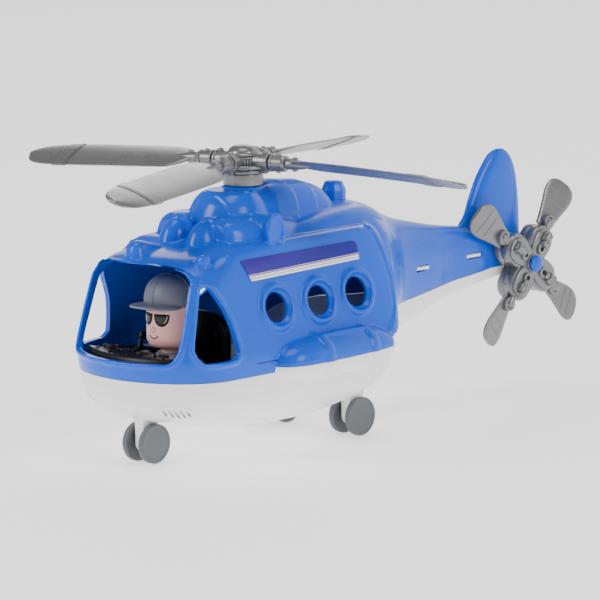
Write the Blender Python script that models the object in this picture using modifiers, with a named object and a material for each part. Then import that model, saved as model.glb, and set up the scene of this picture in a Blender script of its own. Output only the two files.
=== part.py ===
"""Toy helicopter: a two-colour snap-together fuselage, two spinning rotors, three wheel pairs and a pilot.

Sizes are in millimetres with the rotor mast at x = y = 0, the nose towards -Y, port (the left side) towards
+X and the floor at z = 0. The finished objects are in metres, shifted along Y so that the toy is centred.
"""

import bmesh
import bpy
from mathutils import Matrix, Vector
from math import cos, pi, radians, sin, tan

MM = 0.001
WELD = 0.000003
MAST_Y = -67.27
GAP = 0.3
WALL = 2.2

# Cabin and hull
BELT_Z = 49.3
CROWN_FOOT = 100.0
WALL_LEAN = radians(12.8)
ROOF_Z = 118.4
PORTHOLE_RADIUS = 8.3
PORTHOLE_RING = 13.4
PORTHOLES = ((-21.7, 83.5), (11.0, 83.3), (41.1, 84.3))

# Rotors
MAST_RADIUS = 3.0
ROTOR_Z = 157.2
ROTOR_CENTRE = (0, 0, ROTOR_Z)
ROTOR_RADIUS = 136.8
ROTOR_PHASE = radians(14.8)
BLADE_PITCH = radians(20)
BLADE_ROOT = 27.0
BLADE_THICKNESS = 2.2
BLADE_DROOP = 5.6
COLLAR_RADIUS = 11.1
COLLAR_Z = (143.6, 150.3)
TAIL_CENTRE = (11.6, 220.7, 75.0)
TAIL_RADIUS = 55.6
TAIL_TWIST = radians(-14)
TAIL_HALF_THICKNESS = 1.1
TAIL_PHASE = radians(52.08)
TAIL_HUB_DEPTH = 12.6
TAIL_PIN_RADIUS = 2.2

# Wheels: one pair on a short leg under the nose and two pairs side by side at the back
WHEEL_RADIUS = 10.84
WHEEL_FACE = 7.83
WHEEL_WIDTH = 3.5
AXLE_RADIUS = 1.5
AXLE_HALF_LENGTH = 6.2
LEG_HALF_THICKNESS = 3.2
LEGS = {"front": (0.0, -75.8), "rear_port": (28.4, 56.1), "rear_starboard": (-28.4, 56.1)}

# Pilot
HEAD_AXIS_Y = -56.2
HEAD_RADIUS = 13.4
CHIN_Z = 61.0
BRIM_Z = 84.4
SHOULDER_X = 20.4
SHOULDER_Z = 50.5
ARM_RADIUS = 5.2

for old in list(bpy.data.objects):
    bpy.data.objects.remove(old, do_unlink=True)


def collection(name):
    made = bpy.data.collections.new(name)
    bpy.context.scene.collection.children.link(made)
    return made


PARTS = collection("toy_helicopter")
CUTTERS = collection("cutters")
CUTTERS.hide_render = True


def plastic(name, colour, roughness):
    material = bpy.data.materials.new(name)
    material.use_nodes = True
    shader = material.node_tree.nodes["Principled BSDF"]
    shader.inputs["Base Color"].default_value = (*colour, 1)
    shader.inputs["Roughness"].default_value = roughness
    shader.inputs["Metallic"].default_value = 0.0
    material.diffuse_color = (*colour, 1)
    return material


BLUE = (0.03, 0.18, 0.72)
WHITE = (0.86, 0.86, 0.84)
SILVER = (0.34, 0.34, 0.35)
GREY = (0.29, 0.30, 0.31)
BLACK = (0.02, 0.02, 0.022)
SKIN = (0.85, 0.52, 0.48)
CLOTH = (0.12, 0.13, 0.14)
NAVY = (0.03, 0.03, 0.30)


def spaced(start, end, count):
    return [start + (end - start) * i / (count - 1) for i in range(count)]


# ---- building blocks ------------------------------------------------------------------------------------


def helper(name, mesh, place=(0, 0, 0)):
    """A working object at a place given from the mast: a cutter, or a piece before it is finished."""
    obj = bpy.data.objects.new(name, mesh)
    obj.location = (place[0] * MM, (place[1] + MAST_Y) * MM, place[2] * MM)
    obj.display_type = "WIRE"
    obj.hide_render = True
    CUTTERS.objects.link(obj)
    return obj


def solid(name, points, faces):
    """An object whose points are given in millimetres from the mast."""
    mesh = bpy.data.meshes.new(name)
    mesh.from_pydata([[c * MM for c in point] for point in points], [], faces)
    shape = bmesh.new()
    shape.from_mesh(mesh)
    bmesh.ops.recalc_face_normals(shape, faces=shape.faces)
    shape.to_mesh(mesh)
    shape.free()
    return helper(name, mesh)


def loft(name, rings):
    """A closed skin over rings of equal point count, with flat caps on the first and the last."""
    count = len(rings[0])
    points = [point for ring in rings for point in ring]
    faces = [list(range(count)), list(range((len(rings) - 1) * count, len(rings) * count))]
    for r in range(len(rings) - 1):
        for i in range(count):
            j = (i + 1) % count
            faces.append([r * count + i, r * count + j, (r + 1) * count + j, (r + 1) * count + i])
    return solid(name, points, faces)


def oval(half_a, half_b, exponent=2.0, count=32):
    """Points (a, b) round a superellipse; an exponent over 2 squares its corners."""
    points = []
    for i in range(count):
        c = cos(2 * pi * i / count)
        s = sin(2 * pi * i / count)
        a = half_a * abs(c) ** (2 / exponent) * (1 if c >= 0 else -1)
        b = half_b * abs(s) ** (2 / exponent) * (1 if s >= 0 else -1)
        points.append((a, b))
    return points


def lengthwise(name, stations, exponent=2.0, centre_x=0.0, inset=0.0, count=24):
    """A body lofted along Y. Each station is (y, half width, lowest z, highest z)."""
    first, last = stations[0][0], stations[-1][0]
    squeeze = (last - first - 2 * inset) / (last - first)
    rings = []
    for y, half_width, low, high in stations:
        y = first + inset + (y - first) * squeeze
        half_height = max((high - low) / 2 - inset, 0.6)
        section = oval(max(half_width - inset, 0.6), half_height, exponent, count)
        rings.append([(centre_x + a, y, (low + high) / 2 + b) for a, b in section])
    return loft(name, rings)


def turned(name, profile, centre, axis="Z", steps=24):
    """A solid of revolution: (radius, height) pairs from bottom to top, turned round `axis` at `centre`."""
    mesh = bpy.data.meshes.new(name)
    points = [(0, 0, profile[-1][1] * MM)]
    points += [(radius * MM, 0, height * MM) for radius, height in reversed(profile)]
    points += [(0, 0, profile[0][1] * MM)]
    mesh.from_pydata(points, [(i, i + 1) for i in range(len(points) - 1)], [])
    obj = helper(name, mesh, centre)
    screw = obj.modifiers.new("turn", "SCREW")
    screw.steps = screw.render_steps = steps
    screw.use_merge_vertices = True
    screw.merge_threshold = 0.00005
    if axis == "X":
        obj.rotation_euler = (0, pi / 2, 0)
    return baked(obj)


def baked(obj):
    """The object with its modifiers applied, keeping its name and its place."""
    bpy.context.view_layer.update()
    graph = bpy.context.evaluated_depsgraph_get()
    mesh = bpy.data.meshes.new_from_object(obj.evaluated_get(graph))
    obj.modifiers.clear()
    obj.data = mesh
    return obj


def combine(obj, others, operation="UNION"):
    """Joins to obj, or cuts from it, each of the others, which are used up."""
    for other in others:
        step = obj.modifiers.new(operation.lower(), "BOOLEAN")
        step.operation = operation
        step.object = other
        step.solver = "EXACT"
        baked(obj)
        welded(obj.data)
        bpy.data.objects.remove(other, do_unlink=True)
    return obj


def welded(mesh):
    """Merges the points that a Boolean leaves a hair apart where several edges meet."""
    shape = bmesh.new()
    shape.from_mesh(mesh)
    bmesh.ops.remove_doubles(shape, verts=shape.verts, dist=WELD)
    bmesh.ops.dissolve_degenerate(shape, edges=shape.edges, dist=WELD)
    shape.to_mesh(mesh)
    shape.free()


def copied(obj, name):
    other = obj.copy()
    other.data = obj.data.copy()
    other.name = name
    CUTTERS.objects.link(other)
    return other


def box(name, low, high):
    shape = bmesh.new()
    bmesh.ops.create_cube(shape, size=1.0)
    size = Matrix.Diagonal([(b - a) * MM for a, b in zip(low, high)] + [1])
    middle = Matrix.Translation([(a + b) / 2 * MM for a, b in zip(low, high)])
    bmesh.ops.transform(shape, matrix=middle @ size, verts=shape.verts)
    mesh = bpy.data.meshes.new(name)
    shape.to_mesh(mesh)
    shape.free()
    return helper(name, mesh)


def rounded(obj, radius, segments=2):
    bevel = obj.modifiers.new("rounding", "BEVEL")
    bevel.width = radius * MM
    bevel.segments = segments
    bevel.limit_method = "ANGLE"
    bevel.angle_limit = radians(40)
    return baked(obj)


def slab(name, outline, axis, low, high):
    """A flat outline in the other two coordinates, in order, extruded along `axis` from low to high."""
    place = {
        "X": lambda a, b, t: (t, a, b),
        "Y": lambda a, b, t: (a, t, b),
        "Z": lambda a, b, t: (a, b, t),
    }[axis]
    return loft(name, [[place(a, b, t) for a, b in outline] for t in (low, high)])


def ball(name, centre, halves, segments=16, rings=9):
    shape = bmesh.new()
    bmesh.ops.create_uvsphere(shape, u_segments=segments, v_segments=rings, radius=MM)
    bmesh.ops.scale(shape, vec=halves, verts=shape.verts)
    mesh = bpy.data.meshes.new(name)
    shape.to_mesh(mesh)
    shape.free()
    return helper(name, mesh, centre)


def rod(name, start, end, radius, sides=16, end_radius=None):
    """A round bar between two points, with an optional taper."""
    start, end = Vector(start), Vector(end)
    along = (end - start).normalized()
    aside = along.cross(Vector((0, 0, 1)) if abs(along.z) < 0.9 else Vector((1, 0, 0))).normalized()
    up = aside.cross(along)
    rings = []
    for middle, r in ((start, radius), (end, radius if end_radius is None else end_radius)):
        turn = [2 * pi * i / sides for i in range(sides)]
        rings.append([tuple(middle + aside * (r * cos(t)) + up * (r * sin(t))) for t in turn])
    return loft(name, rings)


def tube(name, points, radius):
    """A limb: a bevelled smooth curve through the points, made into a closed mesh."""
    curve = bpy.data.curves.new(name, "CURVE")
    curve.dimensions = "3D"
    curve.bevel_depth = radius * MM
    curve.bevel_resolution = 2
    curve.resolution_u = 3
    curve.use_fill_caps = True
    spline = curve.splines.new("BEZIER")
    spline.bezier_points.add(len(points) - 1)
    for knot, point in zip(spline.bezier_points, points):
        knot.co = [c * MM for c in point]
        knot.handle_left_type = knot.handle_right_type = "AUTO"
    wire = bpy.data.objects.new(name + "_wire", curve)
    wire.location = (0, MAST_Y * MM, 0)
    CUTTERS.objects.link(wire)
    bpy.context.view_layer.update()
    mesh = bpy.data.meshes.new_from_object(wire.evaluated_get(bpy.context.evaluated_depsgraph_get()))
    shape = bmesh.new()
    shape.from_mesh(mesh)
    bmesh.ops.remove_doubles(shape, verts=shape.verts, dist=0.00001)
    bmesh.ops.recalc_face_normals(shape, faces=shape.faces)
    shape.to_mesh(mesh)
    shape.free()
    bpy.data.objects.remove(wire, do_unlink=True)
    return helper(name, mesh)


def finish(obj, colour, roughness, origin=None):
    """Makes obj a visible part with its own material, its origin on its joint axis when one is given."""
    if origin is not None:
        target = Vector((origin[0] * MM, (origin[1] + MAST_Y) * MM, origin[2] * MM))
        place = Matrix.LocRotScale(obj.location, obj.rotation_euler, obj.scale)
        obj.data.transform(Matrix.Translation(-target) @ place)
        obj.matrix_world = Matrix.Translation(target)
    obj.hide_render = False
    obj.display_type = "TEXTURED"
    CUTTERS.objects.unlink(obj)
    PARTS.objects.link(obj)
    obj.data.materials.clear()
    obj.data.materials.append(plastic(obj.name + "_plastic", colour, roughness))
    obj.data.shade_smooth()
    obj.data.set_sharp_from_angle(angle=radians(35))
    return obj


# ---- fuselage -------------------------------------------------------------------------------------------


def wall_x(z):
    """Half width of the cabin's flat leaning side at height z."""
    return 50.6 - tan(WALL_LEAN) * (z - 66.0)


# Level plans of the cabin and hull: (z, half width, nose y, nose length, rear y)
HULL_LEVELS = (
    (12.8, 12.0, -8.0, 16.0, 32.0),
    (14.2, 21.0, -32.0, 30.0, 38.0),
    (17.5, 29.0, -52.0, 42.0, 45.0),
    (22.0, 36.0, -73.0, 42.0, 54.0),
    (27.0, 42.5, -88.5, 40.0, 64.0),
    (34.0, 48.0, -97.0, 39.4, 72.0),
    (42.0, 50.8, -100.6, 39.4, 76.0),
)
CABIN_LEVELS = (
    (BELT_Z, 51.6, -101.8, 39.8, 77.0),
    (54.0, 52.0, -103.0, 41.0, 78.6),
    (60.0, 51.9, -103.0, 41.0, 80.2),
    (66.0, 50.6, -101.8, 39.8, 81.5),
    (84.0, 46.5, -97.9, 36.4, 83.0),
    (99.0, 43.1, -94.0, 33.0, 80.0),
    (107.0, 41.3, -91.4, 36.0, 77.4),
    (111.5, 40.3, -89.4, 44.0, 75.4),
    (114.6, 39.2, -86.6, 52.0, 73.4),
    (116.9, 37.2, -80.0, 58.0, 71.0),
    (118.0, 33.8, -70.0, 58.0, 66.0),
    (ROOF_Z, 28.0, -56.0, 48.0, 58.0),
)


def level_plan(z, half_width, nose_y, nose_length, rear_y, inset=0.0):
    """One level: an elliptical nose, straight sides and a squarer rounded rear."""
    rear_length = 20.0
    nose_steps, side_steps, rear_steps = 10, 2, 5
    half_width -= inset
    nose_centre = nose_y + nose_length
    nose_length -= inset
    rear_centre = rear_y - rear_length
    rear_length -= inset
    half = []
    for i in range(nose_steps):
        t = pi / 2 * i / nose_steps
        half.append((half_width * sin(t), nose_centre - nose_length * cos(t)))
    for i in range(side_steps):
        half.append((half_width, nose_centre + (rear_centre - nose_centre) * i / side_steps))
    for i in range(rear_steps + 1):
        t = pi / 2 * i / rear_steps
        half.append((half_width * cos(t) ** 0.7, rear_centre + rear_length * sin(t) ** 0.7))
    half[-1] = (0.0, half[-1][1])
    other = [(-x, y) for x, y in reversed(half[1:-1])]
    return [(x, y, z) for x, y in half + other]


def crowned(point, inset):
    """Lowers the front of the roof, which is domed across and rises towards the mast."""
    x, y, z = point
    reach = abs(x) + inset
    share = min(1.0, max(0.0, (-38.0 - 0.2 * reach - y) / 16.0))
    share *= share * (3 - 2 * share)
    above = max(0.0, z + inset - CROWN_FOOT)
    return (x, y, z - above * share * (0.1 + 0.006 * reach))


def cabin(name, inset=0.0):
    rings = []
    levels = HULL_LEVELS + CABIN_LEVELS
    middle = (levels[0][0] + levels[-1][0]) / 2
    squeeze = 1 - inset / (levels[-1][0] - middle)
    for z, *plan in levels:
        ring = level_plan(middle + (z - middle) * squeeze, *plan, inset=inset)
        rings.append([crowned(point, inset) for point in ring])
    return loft(name, rings)


BOOM_STATIONS = (
    (48.0, 34.0, 52.0, 118.0),
    (62.0, 43.0, 40.0, 123.5),
    (75.0, 42.0, 41.0, 124.5),
    (85.0, 36.0, 42.6, 122.5),
    (96.0, 27.5, 44.2, 118.6),
    (108.0, 21.0, 46.4, 114.6),
    (125.0, 16.4, 50.6, 110.0),
    (145.0, 12.0, 56.2, 105.4),
    (162.0, 8.0, 60.6, 102.2),
    (190.0, 6.4, 65.2, 98.6),
    (198.0, 5.0, 66.2, 98.0),
    (210.0, 4.6, 67.4, 97.0),
    (222.0, 4.4, 69.0, 94.5),
    (228.0, 3.4, 71.5, 90.0),
)
COWL_STATIONS = (
    (-40.0, 12.0, 104.0, 118.6),
    (-34.0, 22.0, 104.0, 120.4),
    (-20.0, 29.0, 104.0, 122.6),
    (5.0, 32.0, 104.0, 124.8),
    (35.0, 32.0, 104.0, 127.0),
    (62.0, 30.0, 104.0, 128.4),
    (82.0, 25.0, 104.0, 126.2),
    (100.0, 16.0, 100.0, 118.4),
    (118.0, 8.0, 98.0, 111.5),
)
HUMP_STATIONS = (
    (-6.0, 17.0, 108.0, 141.0),
    (8.0, 19.0, 108.0, 143.0),
    (24.0, 18.6, 108.0, 143.2),
    (38.0, 17.6, 108.0, 142.2),
    (48.0, 16.0, 108.0, 139.8),
    (56.0, 13.5, 108.0, 136.2),
    (61.0, 10.0, 108.0, 132.6),
    (64.0, 5.0, 108.0, 128.8),
)
NOSE_BUMP_STATIONS = (
    (-88.6, 4.0, 106.0, 117.0),
    (-87.2, 6.6, 106.0, 120.4),
    (-84.2, 8.2, 106.0, 122.8),
    (-80.0, 8.6, 106.0, 123.4),
    (-74.0, 7.6, 106.0, 121.8),
    (-67.0, 5.0, 106.0, 119.4),
    (-60.0, 2.0, 106.0, 117.0),
)
POD_STATIONS = (
    (-28.5, 5.5, 50.2, 54.8),
    (-27.0, 8.6, 48.2, 57.6),
    (-23.5, 12.6, 45.8, 60.6),
    (-17.0, 15.6, 43.4, 63.8),
    (-6.0, 17.3, 41.4, 66.0),
    (10.0, 17.2, 40.2, 67.4),
    (30.0, 16.4, 40.2, 68.0),
    (46.0, 15.2, 42.2, 67.0),
    (56.0, 13.0, 45.0, 63.6),
    (61.0, 9.6, 48.0, 59.4),
)
POD_X = 47.0


def pylon_profile(inset=0.0):
    """The housing that carries the rotor: an upright dome under the mast boss."""
    profile = (
        (22.6, 112), (22.5, 120), (21.2, 127.6), (19.4, 133), (17.4, 136.8), (14.4, 140), (11.6, 142.2),
    )
    return [(radius - inset, height - inset) for radius, height in profile]


def fuselage_outside():
    body = cabin("fuselage")
    housings = [
        lengthwise("boom", BOOM_STATIONS, 2.5, count=24),
        lengthwise("cowl", COWL_STATIONS, 2.3),
        lengthwise("hump", HUMP_STATIONS, 2.4),
        lengthwise("nose_bump", NOSE_BUMP_STATIONS, 2.4, count=20),
        turned("pylon", pylon_profile(), (0, -11.5, 0)),
        turned("mast_boss", [(11.4, 130), (11.4, 143.3)], (0, 0, 0)),
        turned("beacon", [(7.0, 118), (7.0, 133.6), (5.2, 137.8)], (0, 71.7, 0), steps=8),
        fin(),
    ]
    for side in (1, -1):
        housings.append(lengthwise("pod", POD_STATIONS, 2.3, centre_x=side * POD_X, count=22))
        housings.append(ball("intake", (side * 9.6, -41.5, 116), (10.2, 10.6, 11.8)))
        housings.append(exhaust(side))
        housings += [porthole_ring(side, y, z) for y, z in PORTHOLES]
    return combine(body, housings)


def exhaust(side):
    """An oval pipe end on the shoulder of the roof, pointing sideways."""
    return loft("exhaust", [
        [(side * x, -14.0 + a * grow, 121.6 + b * grow) for a, b in oval(5.6, 8.4, count=16)]
        for x, grow in ((23.3, 0.9), (36.1, 0.92), (36.7, 1.06), (39.1, 1.06))
    ])


def porthole_ring(side, y, z):
    outward = Vector((side * cos(WALL_LEAN), 0, sin(WALL_LEAN)))
    middle = Vector((side * wall_x(z), y, z))
    start, end = middle - outward * 1.5, middle + outward * 1.0
    return rod("porthole_ring", start, end, PORTHOLE_RING, 20, PORTHOLE_RING - 0.8)


def fin():
    """The tail fin: a thin leaf whose leading edge sweeps up from the boom."""
    levels = (
        (86.0, 166.0, 227.6, 4.6),
        (96.0, 170.0, 227.4, 4.6),
        (101.0, 176.0, 227.1, 4.4),
        (106.0, 180.4, 226.8, 4.3),
        (114.4, 184.0, 226.0, 4.2),
        (125.3, 189.8, 224.2, 4.0),
        (134.5, 196.8, 220.6, 3.6),
        (139.6, 202.2, 216.2, 2.8),
        (141.7, 207.6, 212.4, 1.4),
    )
    rings = []
    for z, front, back, half_thickness in levels:
        plan = oval(half_thickness, (back - front) / 2, 2.6, 16)
        rings.append([(a, (front + back) / 2 + b, z) for a, b in plan])
    return loft("fin", rings)


def fuselage_inside():
    hollow = cabin("hollow", WALL)
    rooms = [
        lengthwise("boom_room", BOOM_STATIONS[:-4], 2.5, inset=WALL, count=16),
        lengthwise("cowl_room", COWL_STATIONS[1:-1], 2.3, inset=WALL, count=16),
        lengthwise("hump_room", HUMP_STATIONS[:-1], 2.4, inset=WALL, count=16),
        turned("pylon_room", pylon_profile(WALL)[:-1], (0, -11.5, 0), steps=20),
    ]
    for side in (1, -1):
        rooms.append(lengthwise("pod_room", POD_STATIONS[2:-1], 2.3, side * POD_X, WALL, 14))
    return combine(hollow, rooms)


def windscreen_outline():
    right = (
        (26.0, 59.6), (34.5, 60.2), (37.4, 63.4), (38.2, 70.0), (38.0, 79.0),
        (36.6, 99.0), (35.4, 103.2), (31.6, 107.2), (22.0, 110.2), (10.0, 110.9),
    )
    return list(right) + [(-x, z) for x, z in reversed(right)]


SIDE_WINDOW = (
    (-80.0, 61.4), (-76.6, 59.7), (-61.0, 60.1), (-57.2, 61.8), (-55.8, 65.2), (-59.6, 82.5),
    (-67.6, 97.0), (-70.4, 99.6), (-73.2, 98.9), (-74.7, 96.0), (-81.3, 70.4), (-81.6, 65.0),
)

# Where blue meets white, from the nose round the pods and up to the tail: (y, z)
STEP_Y = -28.9
SEAM = (
    (-120.0, BELT_Z), (STEP_Y, BELT_Z), (STEP_Y, 52.4), (60.0, 53.6), (66.0, 57.5), (74.0, 64.5),
    (90.0, 67.2), (118.0, 67.4), (150.0, 69.6), (175.0, 71.6), (198.0, 73.6), (240.0, 74.6),
)


def seam_block(name, top, half_gap):
    """The space above the seam when top is high, or below it when top is low."""
    line = [(y - half_gap if y == STEP_Y else y, z + half_gap) for y, z in SEAM]
    line += [(240.0, top), (-120.0, top)]
    return slab(name, line, "X", -90, 90)


def windows():
    cutters = [slab("windscreen", windscreen_outline(), "Y", -130, -68)]
    for side in (1, -1):
        cutters.append(slab("side_window", SIDE_WINDOW, "X", *sorted((side * 30, side * 70))))
        for y, z in PORTHOLES:
            outward = Vector((side * cos(WALL_LEAN), 0, sin(WALL_LEAN)))
            middle = Vector((side * wall_x(z), y, z))
            cutters.append(rod("porthole", middle - outward * 8, middle + outward * 8, PORTHOLE_RADIUS, 20))
    return cutters


def mast_hole(low, high):
    return turned("mast_hole", [(MAST_RADIUS + GAP, low), (MAST_RADIUS + GAP, high)], (0, 0, 0), steps=20)


def fuselage():
    outside = fuselage_outside()
    combine(outside, [fuselage_inside()], "DIFFERENCE")
    combine(outside, [mast_hole(100, 160)], "DIFFERENCE")
    y, z = TAIL_CENTRE[1:]
    shaft_hole = rod("shaft_hole", (-2.2, y, z), (12, y, z), TAIL_PIN_RADIUS + GAP)
    combine(outside, [shaft_hole], "DIFFERENCE")
    upper = copied(outside, "upper_fuselage")
    lower = outside
    lower.name = "lower_fuselage"
    combine(upper, [seam_block("above", 170.0, GAP / 2)], "INTERSECT")
    combine(upper, windows(), "DIFFERENCE")
    combine(lower, [seam_block("below", -10.0, -GAP / 2)], "INTERSECT")
    combine(lower, [leg(x, y) for x, y in LEGS.values()])
    combine(lower, [belly_flat()])
    for x, y in LEGS.values():
        hole = rod("axle_hole", (x - 10, y, WHEEL_RADIUS), (x + 10, y, WHEEL_RADIUS), AXLE_RADIUS + GAP)
        combine(lower, [hole], "DIFFERENCE")
    finish(upper, BLUE, 0.22)
    finish(lower, WHITE, 0.28)


def leg(x, y):
    """A flat leg from the hull down to a rounded end round the axle."""
    outline = [(y - 6.6, 33.0), (y - 5.4, 20.0)]
    for i in range(9):
        t = pi + pi * i / 8
        outline.append((y + 5.2 * cos(t), WHEEL_RADIUS + 5.2 * sin(t)))
    outline += [(y + 5.8, 20.0), (y + 8.4, 33.0)]
    return slab("leg", outline, "X", x - LEG_HALF_THICKNESS, x + LEG_HALF_THICKNESS)


def belly_flat():
    """The flat patch moulded under the hull, which a stand or a display base can hold."""
    return box("belly_flat", (-12, -10, 11.6), (12, 30, 14.4))


# ---- stickers -------------------------------------------------------------------------------------------


def sticker(side, name):
    """A thin label on the flat upper part of the side wall; its front edge slants."""
    corners = ((-36.7, 99.3), (46.6, 101.6), (47.0, 103.5), (45.0, 111.6), (-43.8, 110.7))
    normal = Vector((cos(WALL_LEAN), 0, sin(WALL_LEAN)))
    rings = []
    for off in (GAP, GAP + 0.4):
        ring = []
        for y, z in corners:
            place = Vector((wall_x(z), y, z)) + normal * off
            ring.append((side * place.x, place.y, place.z))
        rings.append(ring)
    finish(loft(name, rings), NAVY, 0.3)


# ---- cockpit --------------------------------------------------------------------------------------------


def cockpit():
    """A black tray that follows the cabin wall, with a dashboard along the nose and a hole for the pilot."""
    inset = WALL + GAP + 0.4
    plan = (51.0, -100.6, 38.8, 77.0)
    tray = loft("cockpit_tray", [level_plan(z, *plan, inset=inset) for z in (50.6, 53.6)])
    combine(tray, [box("tray_end", (-60, -36, 40), (60, 90, 60))], "DIFFERENCE")
    dashboard = loft("dashboard", [
        level_plan(z, *plan, inset=inset + shrink) for z, shrink in ((52.0, 0.1), (59.5, 0.8), (61.4, 2.0))
    ])
    combine(dashboard, [box("dashboard_end", (-60, -84.6, 40), (60, 90, 70))], "DIFFERENCE")
    combine(tray, [dashboard])
    combine(tray, [box("pilot_hole", (-29, -78, 40), (29, -30, 58))], "DIFFERENCE")
    details = [
        rod("gauge", (-23.5, -87.6, 58), (-23.5, -87.0, 63.0), 5.0, 14),
        rod("small_gauge", (-11.0, -91.0, 58), (-11.0, -90.6, 62.6), 3.2, 12),
        rod("lever", (-38.0, -52.0, 52), (-38.4, -49.0, 60.5), 1.5, 12, 2.4),
    ]
    combine(tray, details)
    finish(tray, BLACK, 0.45)


def seat():
    """A bench seat: a cushion on a foot that stands on the hull, and a tall rounded back."""
    back = slab("pilot_seat", [
        (-23.0, 24.0), (23.0, 24.0), (23.0, 66.0), (20.0, 73.0), (13.0, 77.0), (0.0, 78.4),
        (-13.0, 77.0), (-20.0, 73.0), (-23.0, 66.0),
    ], "Y", -37.0, -33.4)
    cushion = box("cushion", (-18.0, -58.0, 24.2), (18.0, -35.0, 27.0))
    foot = box("foot", (-12.0, -46.0, 20.6), (12.0, -34.2, 25.0))
    combine(back, [cushion, foot])
    for side in (1, -1):
        arch = ((-5, 40), (-5, 66), (0, 71), (5, 66), (5, 40))
        combine(back, [tube("rib", [(side * 11 + x, -37.4, z) for x, z in arch], 0.9)])
    finish(back, BLACK, 0.5)


# ---- pilot ----------------------------------------------------------------------------------------------


def pilot():
    y = HEAD_AXIS_Y
    head = turned("pilot_head", [
        (5.4, 51.6), (5.4, CHIN_Z - 0.2), (10.0, CHIN_Z), (12.2, CHIN_Z + 1.2), (HEAD_RADIUS, CHIN_Z + 4.4),
        (HEAD_RADIUS, BRIM_Z - 0.6), (12.6, BRIM_Z), (12.4, 90.0), (9.6, 95.4), (4.6, 97.6),
    ], (0, y, 0), steps=24)
    finish(head, SKIN, 0.4, (0, y, CHIN_Z))
    cap = turned("pilot_cap", [
        (14.5, BRIM_Z + 0.2), (14.8, 87.0), (14.4, 91.2), (12.5, 95.8), (9.0, 99.0), (4.8, 100.4),
    ], (0, y, 0), steps=24)
    brim = [(14.2 * cos(t), y - 10.0 + 16.0 * sin(t)) for t in spaced(pi, 2 * pi, 11)]
    combine(cap, [slab("brim", brim, "Z", BRIM_Z + 0.2, BRIM_Z + 1.8)])
    lining = turned("lining", [
        (13.0, 80.0), (13.0, 88.0), (12.8, 90.2), (10.1, 95.8), (5.0, 98.2),
    ], (0, y, 0), steps=20)
    combine(cap, [lining], "DIFFERENCE")
    finish(cap, CLOTH, 0.45, (0, y, BRIM_Z))
    levels = ((27.4, 13.0, 8.6), (30.0, 13.6, 9.0), (48.0, 14.6, 9.2), (54.0, 13.6, 8.6), (56.6, 10.4, 7.6))
    torso = loft("pilot_torso", [
        [(a, y + b, z) for a, b in oval(half_x, half_y, 3.0, 18)] for z, half_x, half_y in levels
    ])
    socket = turned("neck_socket", [(5.4 + GAP, 51.2), (5.4 + GAP, 60)], (0, y, 0), steps=24)
    combine(torso, [socket], "DIFFERENCE")
    finish(torso, CLOTH, 0.5)
    for side, name in ((1, "left"), (-1, "right")):
        x = side * SHOULDER_X
        arm = tube("pilot_arm_" + name, [
            (x, y, SHOULDER_Z), (x + side * 0.6, y - 3, 42),
            (x, y - 11, 36.5), (x - side * 2.5, y - 17.5, 36.0),
        ], ARM_RADIUS)
        combine(arm, [ball("shoulder", (x, y, SHOULDER_Z), (5.8, 5.8, 5.8), 12, 8)])
        finish(arm, CLOTH, 0.5, (x, y, SHOULDER_Z))
        hand = ball("pilot_hand_" + name, (x - side * 3.6, y - 22.2, 36.0), (3.9, 4.2, 3.9), 12, 8)
        finish(hand, SKIN, 0.4)
        thigh = side * 7.4
        lap = tube("pilot_leg_" + name, [
            (thigh, y - 9.8, 36.0), (thigh, y - 18, 37.4), (thigh, y - 25, 37.4),
        ], 5.4)
        combine(lap, [rounded(box("shoe", (thigh - 5, y - 30, 32.4), (thigh + 5, y - 22, 42.4)), 1.5, 1)])
        finish(lap, CLOTH, 0.5)


# ---- main rotor -----------------------------------------------------------------------------------------


def turned_about_mast(obj, angle):
    obj.data.transform(Matrix.Rotation(angle, 4, "Z"))
    return obj


def blade_rings():
    """Sections along one blade that points along +X: pitched, drooping and rounded at its tip."""
    rings = []
    plan = (
        (BLADE_ROOT + 5.0, 3.6, 0.0), (36.0, 6.5, 0.2), (42.0, 9.8, 0.8), (52.0, 12.0, 1.4),
        (70.0, 12.5, 1.5), (100.0, 12.4, 1.3), (117.0, 11.8, 0.9), (126.0, 10.5, 0.6),
        (131.8, 8.4, 0.3), (135.4, 5.2, 0.1), (ROTOR_RADIUS, 1.8, 0.0),
    )
    for r, half_chord, forward in plan:
        lift = -BLADE_DROOP * (r / ROTOR_RADIUS) ** 2
        section = oval(half_chord, BLADE_THICKNESS / 2, 2.6, 10)
        ring = []
        for c, t in section:
            c += forward
            y = c * cos(BLADE_PITCH) + t * sin(BLADE_PITCH)
            z = -c * sin(BLADE_PITCH) + t * cos(BLADE_PITCH)
            ring.append((r, y, ROTOR_Z + lift + z))
        rings.append(ring)
    return rings


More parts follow.
